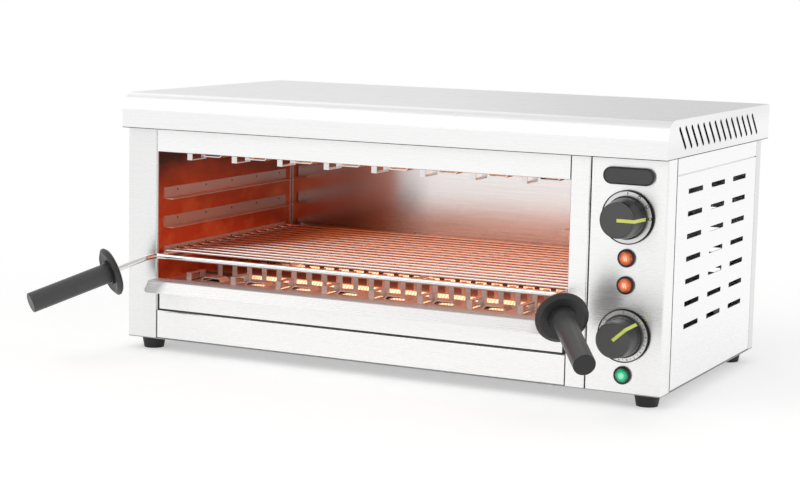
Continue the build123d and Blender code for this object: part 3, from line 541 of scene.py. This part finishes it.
def glowing(name, color, core, strength):
    """Hot quartz or wire: banded by the winding inside, with ends that stay cold."""
    material, tree, shader = new_material(name)
    shader.inputs["Roughness"].default_value = QUARTZ_ROUGHNESS
    bands = node(tree, "ShaderNodeTexWave", bands_direction="X")
    bands.inputs["Scale"].default_value = WINDING_SCALE
    bands.inputs["Distortion"].default_value = WINDING_DISTORTION
    tree.links.new(object_place(tree), bands.inputs["Vector"])
    tint = ramp(tree, bands.outputs["Fac"], ((WINDING_STOPS[0], color), (WINDING_STOPS[1], core)))
    low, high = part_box("heating_coils")
    reach = off_middle(tree, place_axes(tree)[0], (low.x + high.x) / 2)
    half = (high.x - low.x) / 2
    hot = spread(tree, reach, 1, 0, half - COLD_END[0], half - COLD_END[1])
    tree.links.new(mixed(tree, hot, COLD_QUARTZ, tint), shader.inputs["Base Color"])
    tree.links.new(tint, shader.inputs["Emission Color"])
    tree.links.new(spread(tree, hot, 0, strength, 0, 1), shader.inputs["Emission Strength"])
    return material


def lit_lens(name, lens, count, stops, strength):
    """A lit lens, brightest at the middle of each dome."""
    material, tree, shader = new_material(name)
    shader.inputs["Roughness"].default_value = LENS_ROUGHNESS
    cells = grained(tree, LENS_GRAIN, CELL_DETAIL)
    away = nearest_middle(tree, lens_centres(lens, count))
    uneven = calculated(tree, "MULTIPLY_ADD", cells, LENS_UNEVEN, away)
    tint = ramp(tree, spread(tree, uneven, 0, 1, *LENS_FADE), stops)
    tree.links.new(tint, shader.inputs["Base Color"])
    tree.links.new(tint, shader.inputs["Emission Color"])
    shader.inputs["Emission Strength"].default_value = strength
    return material


def dial_face():
    """Satin metal on the dials, with fine turning marks."""
    material, tree, shader = new_material("dial_face")
    shader.inputs["Roughness"].default_value = DIAL_ROUGHNESS
    shader.inputs["Metallic"].default_value = DIAL_METALLIC
    turning = node(tree, "ShaderNodeTexNoise", noise_dimensions="1D")
    turning.inputs["Scale"].default_value = DIAL_RING_SCALE
    tree.links.new(nearest_middle(tree, front_middles(DIALS), True), turning.inputs["W"])
    silver = ramp(tree, turning.outputs["Fac"], ((NOISE_LOW, DIAL_SILVER), (NOISE_HIGH, DIAL_BRIGHT)))
    tree.links.new(silver, shader.inputs["Base Color"])
    return material


def knob_plastic():
    """Black knobs: satin grey faces inside a thin pale ring of painted highlight on the chamfer, and glossier
    sides.
    """
    material, tree, shader = new_material("knob_plastic")
    away = nearest_middle(tree, front_middles(DIALS), True)
    inner, outer = KNOB_HIGHLIGHT_RADII
    face = spread(tree, away, 1, 0, KNOB_FACE_RADIUS, KNOB_FACE_RADIUS + KNOB_FADE)
    # Thin pale ring between face and side: painted highlight of the chamfer
    edge = product(tree, (
        spread(tree, away, 0, 1, inner, inner + KNOB_FADE),
        spread(tree, away, 1, 0, outer, outer + KNOB_FADE),
    ))
    cells = grained(tree, KNOB_GRAIN, CELL_DETAIL)
    grey = varied(tree, cells, KNOB_GREY, KNOB_CONTRAST)
    tint = mixed(tree, edge, mixed(tree, face, KNOB_BLACK, grey), KNOB_EDGE_HIGHLIGHT)
    tree.links.new(tint, shader.inputs["Base Color"])
    tree.links.new(spread(tree, face, *KNOB_ROUGHNESS, 0, 1), shader.inputs["Roughness"])
    bumped(tree, shader, cells, KNOB_RELIEF, PLASTIC_BUMP)
    return material


def heated_wall():
    """Sheet steel with the heaters' glow painted in: dark brown near the top, patchy red below, plain grey on
    its front edge.
    """
    material, tree, shader = new_material("heated_wall")
    shader.inputs["Metallic"].default_value = 1.0
    low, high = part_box("left_wall")
    along_y, along_z = place_axes(tree)[1:]
    clouds = grained(tree, GLOW_CLOUD_GRAIN, GLOW_CLOUD_DETAIL)
    uneven = calculated(tree, "MULTIPLY_ADD", clouds, GLOW_UNEVEN, along_z)
    height = spread(tree, uneven, 0, 1, low.z + GLOW_HEIGHT_START, high.z + GLOW_HEIGHT_OVERRUN)
    patches = product(tree, (
        spread(tree, grained(tree, PATCH_GRAIN), 0, PATCH_SHARE, *PATCH_NOISE),
        spread(tree, height, 1, 0, *PATCH_FADE),
    ))
    # Painted glow of the heaters: red fading to dark brown with height, with orange patches low down
    tint = mixed(tree, patches, ramp(tree, height, PAINTED_GLOW_STOPS), PAINTED_GLOW_ORANGE)
    inside = spread(tree, along_y, 0, 1, low.y + EDGE_FADE[0], low.y + EDGE_FADE[1])
    tree.links.new(mixed(tree, inside, EDGE_GREY, tint), shader.inputs["Base Color"])
    streaks = grained(tree, LEVEL_GRAIN)
    tree.links.new(spread(tree, streaks, *LEFT_WALL_ROUGHNESS), shader.inputs["Roughness"])
    bumped(tree, shader, streaks, STEEL_RELIEF, STEEL_BUMP)
    return material


def overlaid(material, share, color):
    """Colour laid over a material where a share is one."""
    tree = material.node_tree
    base = shader_of(material).inputs["Base Color"]
    tree.links.new(mixed(tree, share, base.links[0].from_socket, color), base)


def darken_slots(material):
    """Painted shade on the cut edges of the slots in the hood's ends."""
    tree = material.node_tree
    low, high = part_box("hood")
    middle = (low + high) / 2
    half = (high.x - low.x) / 2
    rise = [(high.z - low.z) * share for share in CUT_HEIGHT_SHARE]
    along_x, along_y, along_z = place_axes(tree)
    overlaid(material, product(tree, (
        spread(tree, off_middle(tree, along_x, middle.x), 0, 1, half - CUT_DEPTH[0], half - CUT_DEPTH[1]),
        spread(tree, off_middle(tree, normal_axes(tree)[0], 0), 1, 0, *CUT_FACING),
        spread(tree, off_middle(tree, along_z, middle.z), 1, 0, *rise),
        spread(tree, off_middle(tree, along_y, middle.y), 1, 0, *CUT_REACH),
    )), SLOT_SHADE)


def tint_back(material):
    """Painted shade over the chamber's back, darker towards the left."""
    tree = material.node_tree
    overlaid(material, spread(tree, place_axes(tree)[0], 1, 0, *BACK_SHADE_END), BACK_WALL_SHADE)


def tint_guard(material):
    """Darker brown over the lower guard, from behind its front ledge back."""
    tree = material.node_tree
    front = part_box("lower_heater_guard")[0].y
    behind = spread(tree, place_axes(tree)[1], 0, 1, front + GUARD_TINT[0], front + GUARD_TINT[1])
    overlaid(material, behind, GUARD_BROWN)


def dull_lip(material):
    """Painted shade at the ends of the tray's lip and on its ledge's upper faces, which also get a duller,
    less metallic finish.
    """
    tree = material.node_tree
    low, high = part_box("crumb_tray_front")
    along_x, along_y = place_axes(tree)[:2]
    half = (high.x - low.x) / 2
    aside = off_middle(tree, along_x, (low.x + high.x) / 2)
    overlaid(material, product(tree, (
        spread(tree, aside, 0, 1, half - LIP_END[0], half - LIP_END[1]),
        spread(tree, along_y, 1, 0, high.y - LIP_ROOT[0], high.y - LIP_ROOT[1]),
    )), LIP_END_SHADE)
    ledge = spread(tree, normal_axes(tree)[2], 0, 1, *LEDGE_FACING)
    overlaid(material, ledge, LEDGE_SHADE)
    tree.links.new(spread(tree, ledge, 1, LEDGE_METALLIC, 0, 1), shader_of(material).inputs["Metallic"])


def darken_grip_end(material, name, side):
    """Painted shade on the face at the end of a grip."""
    tree = material.node_tree
    level = cos(GRIP_DIP)
    along = Vector((side * sin(GRIP_SPLAY) * level, -cos(GRIP_SPLAY) * level, -sin(GRIP_DIP)))
    end = max(along.dot(vertex.co) for vertex in nodes[name].data.vertices)
    reach = from_vectors(tree, "DOT_PRODUCT", "Value", object_place(tree), along)
    start, full = (end - depth for depth in GRIP_END_DEPTH)
    overlaid(material, spread(tree, reach, 0, 1, start, full), GRIP_END_SHADE)


looks = {
    **{name: brushed_steel(name, *values) for name, values in STEELS.items()},
    **{name: moulded(name, *values) for name, values in PLASTICS.items()},
    **{name: glowing(name, *values) for name, values in GLOWS.items()},
    **{name: lit_lens(name, *values) for name, values in LENSES.items()},
    "dial_face": dial_face(),
    "knob_plastic": knob_plastic(),
    "heated_wall": heated_wall(),
}
darken_slots(looks["hood_steel"])
tint_back(looks["back_steel"])
tint_guard(looks["guard_steel"])
dull_lip(looks["tray_steel"])
darken_grip_end(looks["grip_left_plastic"], "grip_left", -1)
darken_grip_end(looks["grip_right_plastic"], "grip_right", 1)
shader_of(looks["rim_black"]).inputs["Specular IOR Level"].default_value = RIM_SPECULAR
for name, strength in SIGN_GLOWS.items():
    sign_shader = shader_of(looks[name])
    sign_shader.inputs["Emission Color"].default_value = (*PLASTICS[name][0], 1)
    sign_shader.inputs["Emission Strength"].default_value = strength

for look, names in FINISHES.items():
    for name in names:
        slots = nodes[name].data.materials
        slots.clear()
        slots.append(looks[look])


def piece(name, form, look, body):
    """A finished form as a piece that rides on a body and takes its finish from a slot."""
    mesh = bpy.data.meshes.new(name)
    form.to_mesh(mesh)
    form.free()
    mesh.materials.append(looks[look])
    made = bpy.data.objects.new(name, mesh)
    scene.collection.objects.link(made)
    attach(made, body)


def strips(name, boxes, bevel, look, body):
    """Bevelled strips given by their lowest and highest corners, as one piece."""
    form = bmesh.new()
    for low, high in boxes:
        made = bmesh.ops.create_cube(form, size=1)["verts"]
        bmesh.ops.scale(form, vec=Vector(high) - Vector(low), verts=made)
        bmesh.ops.translate(form, vec=(Vector(high) + Vector(low)) / 2, verts=made)
    bmesh.ops.bevel(form, geom=form.edges[:], offset=bevel, segments=BEVEL_STEPS, affect="EDGES")
    piece(name, form, look, body)


def plates(name, outlines, front, back, look, body):
    """Flat prisms between two depths, given by their outlines as seen from the front."""
    form = bmesh.new()
    for outline in outlines:
        near = [form.verts.new((x, front, z)) for x, z in outline]
        far = [form.verts.new((x, back, z)) for x, z in outline]
        form.faces.new(near)
        form.faces.new(far[::-1])
        for here in range(len(outline)):
            after = (here + 1) % len(outline)
            form.faces.new((near[here], far[here], far[after], near[after]))
    bmesh.ops.recalc_face_normals(form, faces=form.faces[:])
    piece(name, form, look, body)


def rings(name, middles, profile, look, body):
    """Rings about axes along Y, turned from a profile of (radius, depth) points."""
    form = bmesh.new()
    angles = [2 * pi * step / RING_STEPS for step in range(RING_STEPS)]
    for x, _, z in middles:
        loops = []
        for radius, depth in profile:
            points = [(x + radius * sin(angle), depth, z + radius * cos(angle)) for angle in angles]
            loops.append([form.verts.new(point) for point in points])
        for here, loop in enumerate(loops):
            next_loop = loops[(here + 1) % len(loops)]
            for step in range(RING_STEPS):
                after = (step + 1) % RING_STEPS
                form.faces.new((loop[step], loop[after], next_loop[after], next_loop[step]))
    bmesh.ops.recalc_face_normals(form, faces=form.faces[:])
    piece(name, form, look, body)


def turned(points, centre, angle, radius):
    """Points of a mark that faces outwards at a clockwise angle from the top of a dial."""
    placed = []
    for across, out in points:
        reach = radius + out
        placed.append((
            centre[0] + reach * sin(angle) + across * cos(angle),
            centre[1] + reach * cos(angle) - across * sin(angle),
        ))
    return placed


def bar(width, height, across=0.0, out=0.0):
    """Outline of one bar of a mark."""
    left, right = across - width / 2, across + width / 2
    bottom, top = out - height / 2, out + height / 2
    return [(left, bottom), (right, bottom), (right, top), (left, top)]


def numeral(form, figures, centre, angle, depth):
    """A number of a dial, upright at a clockwise angle from its top, added to a form."""
    curve = bpy.data.curves.new("numeral", "FONT")
    curve.body = figures
    curve.size = NUMERAL_SIZE
    curve.align_x = "CENTER"
    curve.align_y = "CENTER"
    curve.extrude = MARK_PROUD
    curve.resolution_u = NUMERAL_STEPS
    holder = bpy.data.objects.new("numeral", curve)
    mesh = bpy.data.meshes.new_from_object(holder)
    out = Matrix.Translation((centre[0], depth, centre[1])) @ Matrix.Rotation(angle, 4, "Y")
    mesh.transform(out @ Matrix.Translation((0, 0, MARK_RADIUS)) @ Matrix.Rotation(pi / 2, 4, "X"))
    form.from_mesh(mesh)
    bpy.data.meshes.remove(mesh)
    bpy.data.objects.remove(holder)
    bpy.data.curves.remove(curve)


def dial_place(name):
    """Middle of a dial as seen from the front, and the depth of its recessed ring."""
    low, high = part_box(name)
    return ((low.x + high.x) / 2, (low.z + high.z) / 2), low.y + DIAL_RECESS


def selector_scale():
    """Marks of the selector: off at the top, then upper heat, lower heat and both."""
    centre, depth = dial_place("selector_dial")
    outlines = [turned(bar(*OFF_TICK), centre, 0, MARK_RADIUS)]
    for step, heats in enumerate(SELECTOR_HEATS, 1):
        angle = radians(SELECTOR_STEP * step)
        for side in (1, -1):
            weight = SIGN_BOLD if side in heats else SIGN_LINE
            upright = bar(SIGN_LINE, SIGN_SIZE, side * SIGN_SIZE / 2)
            level = bar(SIGN_SIZE, weight, 0, side * SIGN_SIZE / 2)
            outlines += [turned(points, centre, angle, MARK_RADIUS) for points in (upright, level)]
    near, far = depth - MARK_PROUD, depth + MARK_PROUD
    plates("selector_marks", outlines, near, far, "mark_ink", "cabinet")


def timer_scale():
    """Marks of the timer: a number for each minute, with dots between."""
    centre, depth = dial_place("timer_dial")
    outlines = []
    form = bmesh.new()
    for minute in range(TIMER_MINUTES + 1):
        angle = radians(TIMER_FIRST + TIMER_STEP * (minute - 1)) if minute else 0
        numeral(form, str(minute), centre, angle, depth)
        if 0 < minute < TIMER_MINUTES:
            halfway = angle + radians(TIMER_STEP / 2)
            outlines.append(turned(bar(DOT_SIZE, DOT_SIZE), centre, halfway, MARK_RADIUS))
    piece("timer_numbers", form, "mark_ink", "cabinet")
    near, far = depth - MARK_PROUD, depth + MARK_PROUD
    plates("timer_marks", outlines, near, far, "mark_ink", "cabinet")


def dial_rims():
    """Black rims round the dials."""
    low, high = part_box("selector_dial")
    radius = (high.x - low.x) / 2
    rings("dial_rims", front_middles(DIALS), [
        (radius - RIM_WIDTH, low.y - RIM_PROUD),
        (radius - RIM_PROUD, low.y - RIM_PROUD),
        (radius + RIM_PROUD, low.y + RIM_PROUD),
        (radius + RIM_PROUD, high.y),
        (radius - RIM_WIDTH, high.y),
    ], "rim_black", "cabinet")


def lamp_signs():
    """Heat signs on the orange lamps, a clock sign on the green one."""
    half_line = LAMP_SIGN_LINE / 2
    waves = []
    for x, front, z in lens_centres("orange_lamp_lenses", 2):
        for side in (-1, 1):
            left, right = [], []
            for step in range(LAMP_SIGN_STEPS + 1):
                share = step / LAMP_SIGN_STEPS
                across = x + side * LAMP_SIGN_GAP + LAMP_SIGN_SWAY * sin(2 * pi * share)
                height = z + LAMP_SIGN_SIZE * (share - 0.5)
                left.append((across - half_line, height))
                right.append((across + half_line, height))
            waves.append(left + right[::-1])
    near, far = front - LAMP_SIGN_PROUD, front + LAMP_SIGN_ROOT
    plates("orange_lamp_signs", waves, near, far, "orange_sign", "cabinet")

    middle = lens_centres("green_lamp_lens", 1)[0]
    near, far = middle[1] - LAMP_SIGN_PROUD, middle[1] + LAMP_SIGN_ROOT
    outer = LAMP_SIGN_SIZE / 2
    inner = outer - LAMP_SIGN_LINE
    profile = [(inner, near), (outer, near), (outer, far), (inner, far)]
    rings("green_lamp_ring", [middle], profile, "green_sign", "cabinet")
    hands = []
    for angle, share in CLOCK_HANDS:
        length = outer * share
        hand = bar(LAMP_SIGN_LINE, length)
        hands.append(turned(hand, (middle[0], middle[2]), radians(angle), length / 2))
    plates("green_lamp_hands", hands, near, far, "green_sign", "cabinet")


def badge_face():
    """Grey face of the bare badge, let into its rim."""
    low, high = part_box("badge_plate")
    middle = (low + high) / 2
    radius = (high.z - low.z) / 2 - BADGE_RIM
    reach = (high.x - low.x) / 2 - (high.z - low.z) / 2
    outline = []
    for side in (1, -1):
        for step in range(BADGE_STEPS + 1):
            angle = pi * step / BADGE_STEPS
            across = reach + radius * sin(angle)
            outline.append((middle.x + side * across, middle.z + side * radius * cos(angle)))
    front = low.y + BADGE_SINK
    plates("badge_face", [outline], front, front + MARK_PROUD, "badge_plastic", "cabinet")


def weld_spots():
    """Weld spots along the webs of the rails."""
    form = bmesh.new()
    for side, inward in (("left", 1), ("right", -1)):
        turn = Matrix.Rotation(inward * pi / 2, 4, "Y")
        for rail in RAILS[side]:
            low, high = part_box(rail)
            web = low.x + SHEET if inward > 0 else high.x - SHEET
            x = web + inward * WELD_RISE / 2
            z = low.z + (high.z - low.z) * WELD_HEIGHT_SHARE
            for share in WELD_SHARES:
                spot = Matrix.Translation((x, low.y + (high.y - low.y) * share, z))
                bmesh.ops.create_cone(
                    form, cap_ends=True, segments=WELD_STEPS, radius1=WELD_RADIUS,
                    radius2=WELD_RADIUS * WELD_TOP_SHARE, depth=WELD_RISE, matrix=spot @ turn,
                )
    piece("rail_weld_spots", form, "weld_steel", "cabinet")


selector_scale()
timer_scale()
dial_rims()
lamp_signs()
badge_face()
weld_spots()

# The upper guard spans the chamber from wall to wall and to its back
bed_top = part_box("lower_heater_guard")[1].z
lid_low, lid_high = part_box("upper_heater_guard")
chamber_left, chamber_right, chamber_back = lid_low.x, lid_high.x, lid_high.y

# Corner strips where the side walls meet the back wall
corner_y = (chamber_back - CORNER_WIDTH, chamber_back - CORNER_GAP)
strips("corner_strips", [
    ((chamber_left, corner_y[0], bed_top), (chamber_left + CORNER_THICKNESS, corner_y[1], lid_low.z)),
    ((chamber_right - CORNER_THICKNESS, corner_y[0], bed_top), (chamber_right, corner_y[1], lid_low.z)),
], STRIP_BEVEL, "rail_steel", "cabinet")

# Painted shade: a dark strip over the fold between the control panel's turned edge and the side cover
cover_low, cover_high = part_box("side_cover")
panel_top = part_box("control_panel")[1].z
strips("cover_edge_shade", [(
    (cover_high.x - SHEET, cover_low.y - SHADE_LINE_WIDTH / 2, cover_low.z + SHEET),
    (cover_high.x + SHADE_LINE_PROUD, cover_low.y + SHADE_LINE_WIDTH / 2, panel_top - SHEET),
)], SHADE_LINE_BEVEL, "foot_rubber", "cabinet")

# Painted shade: a dark strip filling the gap between the left stile and the lower fascia
stile_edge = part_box("left_side_panel")[1].x
fascia_low, fascia_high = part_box("lower_fascia")
strips("fascia_gap_shade", [(
    (stile_edge + SHADE_LINE_PROUD, fascia_low.y + SHADE_LINE_SINK, fascia_low.z),
    (fascia_low.x - SHADE_LINE_PROUD, fascia_low.y + SHEET, fascia_high.z),
)], SHADE_LINE_BEVEL, "foot_rubber", "cabinet")

# Painted shade: dark strips under the hood's lower edge
(left, front, bottom), (right, back, _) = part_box("hood")
edge = (bottom - HOOD_SHADE_HEIGHT, bottom)
strips("hood_edge_shade", [
    ((left, front, edge[0]), (right, front + SHEET, edge[1])),
    ((left, back - SHEET, edge[0]), (right, back, edge[1])),
    ((left, front + SHEET, edge[0]), (left + SHEET, back - SHEET, edge[1])),
    ((right - SHEET, front + SHEET, edge[0]), (right, back - SHEET, edge[1])),
], STRIP_BEVEL, "foot_rubber", "cabinet")

# Painted shade: black strips beside and below the tray's front, in the gaps round it
tray_low, tray_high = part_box("crumb_tray_front")
tray_shade_y = (tray_high.y - SHEET + TRAY_SHADE_SINK, tray_high.y)
tray_shade_bottom = tray_low.z - TRAY_SHADE_HEIGHT
tray_shade_top = tray_high.z - TRAY_SHADE_TOP
tray_shade_left = (chamber_left + TRAY_SHADE_GAP, chamber_left + TRAY_SIDE_GAP)
tray_shade_right = (chamber_right - TRAY_SIDE_GAP, chamber_right - TRAY_SHADE_GAP)
strips("tray_gap_shade", [
    ((tray_shade_left[0], tray_shade_y[0], tray_shade_bottom), (tray_shade_left[1], tray_shade_y[1], tray_shade_top)),
    ((tray_shade_right[0], tray_shade_y[0], tray_shade_bottom), (tray_shade_right[1], tray_shade_y[1], tray_shade_top)),
    ((tray_shade_left[1], tray_shade_y[0], tray_shade_bottom), (tray_shade_right[0], tray_shade_y[1], tray_low.z)),
], STRIP_BEVEL, "foot_rubber", "crumb_tray")


def area_lamp(name, place, target, width, height, watts, color):
    """A rectangular soft light aimed at a point."""
    lamp = bpy.data.lights.new(name, "AREA")
    lamp.shape = "RECTANGLE"
    lamp.size = width
    lamp.size_y = height
    lamp.energy = watts
    lamp.color = color
    holder = bpy.data.objects.new(name, lamp)
    holder.location = place
    holder.rotation_euler = (Vector(target) - Vector(place)).to_track_quat("-Z", "Y").to_euler()
    holder.visible_glossy = name != UNREFLECTED_LAMP
    scene.collection.objects.link(holder)


for lamp_values in LAMPS:
    area_lamp(*lamp_values)

# Glow of the heaters, from just below the upper guard and just above the lower one
glow_x = (lid_low.x + lid_high.x) / 2
glow_y = (lid_low.y + lid_high.y) / 2
upper_place = (glow_x, glow_y, lid_low.z - GLOW_GAP)
lower_place = (glow_x, glow_y, bed_top + GLOW_GAP)
area_lamp("upper_glow", upper_place, (glow_x, glow_y, 0), *GLOW_SIZE, UPPER_GLOW_WATTS, GLOW_COLOR)
area_lamp("lower_glow", lower_place, (glow_x, glow_y, 1), *GLOW_SIZE, LOWER_GLOW_WATTS, GLOW_COLOR)


def seen_rays(tree):
    """One for camera, glossy and transmission rays, zero for the rest."""
    rays = node(tree, "ShaderNodeLightPath").outputs
    seen = calculated(tree, "MAXIMUM", rays["Is Camera Ray"], rays["Is Glossy Ray"])
    return calculated(tree, "MAXIMUM", seen, rays["Is Transmission Ray"])


def studio_world():
    """White surroundings, dimmer in reflections of some parts of the sky, and softer as fill light."""
    world = bpy.data.worlds.new("studio")
    world.use_nodes = True
    tree = world.node_tree
    tree.nodes.clear()
    along_x, along_y, along_z = axes(tree, node(tree, "ShaderNodeTexCoord").outputs["Generated"])
    reach = {"X": along_x, "Y": along_y, "Z": along_z, "band": off_middle(tree, along_x, BRIGHT_BAND)}
    levels = []
    for level, fades in DIM_SKIES:
        share = product(tree, [spread(tree, reach[axis], 0, 1, start, full) for axis, start, full in fades])
        levels.append(spread(tree, share, 1, level, 0, 1))
    camera_ray = node(tree, "ShaderNodeLightPath").outputs["Is Camera Ray"]
    shown = calculated(tree, "MAXIMUM", product(tree, levels), camera_ray)
    seen = node(tree, "ShaderNodeBackground")
    tree.links.new(shown, seen.inputs["Strength"])
    fill = node(tree, "ShaderNodeBackground")
    fill.inputs["Strength"].default_value = FILL_LEVEL
    mix = node(tree, "ShaderNodeMixShader")
    tree.links.new(seen_rays(tree), mix.inputs["Fac"])
    tree.links.new(fill.outputs[0], mix.inputs[1])
    tree.links.new(seen.outputs[0], mix.inputs[2])
    output = node(tree, "ShaderNodeOutputWorld")
    tree.links.new(mix.outputs[0], output.inputs["Surface"])
    scene.world = world


def studio_floor():
    """Plain pale floor that keeps the shadow near the object and is white further out."""
    mesh = bpy.data.meshes.new("floor")
    half = FLOOR_SIZE / 2
    corners = [(-half, -half, 0), (half, -half, 0), (half, half, 0), (-half, half, 0)]
    mesh.from_pydata(corners, [], [(0, 1, 2, 3)])
    material, tree, shader = new_material("floor_paper")
    cells = grained(tree, FLOOR_GRAIN, CELL_DETAIL)
    paper = ramp(tree, cells, ((NOISE_LOW, FLOOR_COLOR), (NOISE_HIGH, FLOOR_PALE)))
    tree.links.new(paper, shader.inputs["Base Color"])
    shader.inputs["Roughness"].default_value = FLOOR_ROUGHNESS
    shader.inputs["Specular IOR Level"].default_value = 0.0
    seen = seen_rays(tree)
    shader.inputs["Emission Color"].default_value = (1, 1, 1, 1)
    tree.links.new(spread(tree, seen, 0, FLOOR_LIFT, 0, 1), shader.inputs["Emission Strength"])
    reach = from_vectors(tree, "LENGTH", "Value", object_place(tree))
    share = product(tree, (seen, spread(tree, reach, 0, 1, *SHADOW_REACH)))
    white = node(tree, "ShaderNodeEmission")
    mix = node(tree, "ShaderNodeMixShader")
    tree.links.new(share, mix.inputs["Fac"])
    tree.links.new(shader.outputs["BSDF"], mix.inputs[1])
    tree.links.new(white.outputs[0], mix.inputs[2])
    tree.links.new(mix.outputs[0], tree.nodes["Material Output"].inputs["Surface"])
    mesh.materials.append(material)
    floor = bpy.data.objects.new("floor", mesh)
    scene.collection.objects.link(floor)


studio_world()
studio_floor()

camera_data = bpy.data.cameras.new("camera")
camera_data.lens = CAMERA_LENS
camera_data.sensor_width = SENSOR_WIDTH
camera_data.clip_end = CLIP_END
camera = bpy.data.objects.new("camera", camera_data)
camera.location = CAMERA_PLACE
camera.rotation_euler = [radians(angle) for angle in CAMERA_TURN]
scene.collection.objects.link(camera)
scene.camera = camera
scene.view_settings.view_transform = "Standard"

bpy.context.view_layer.update()
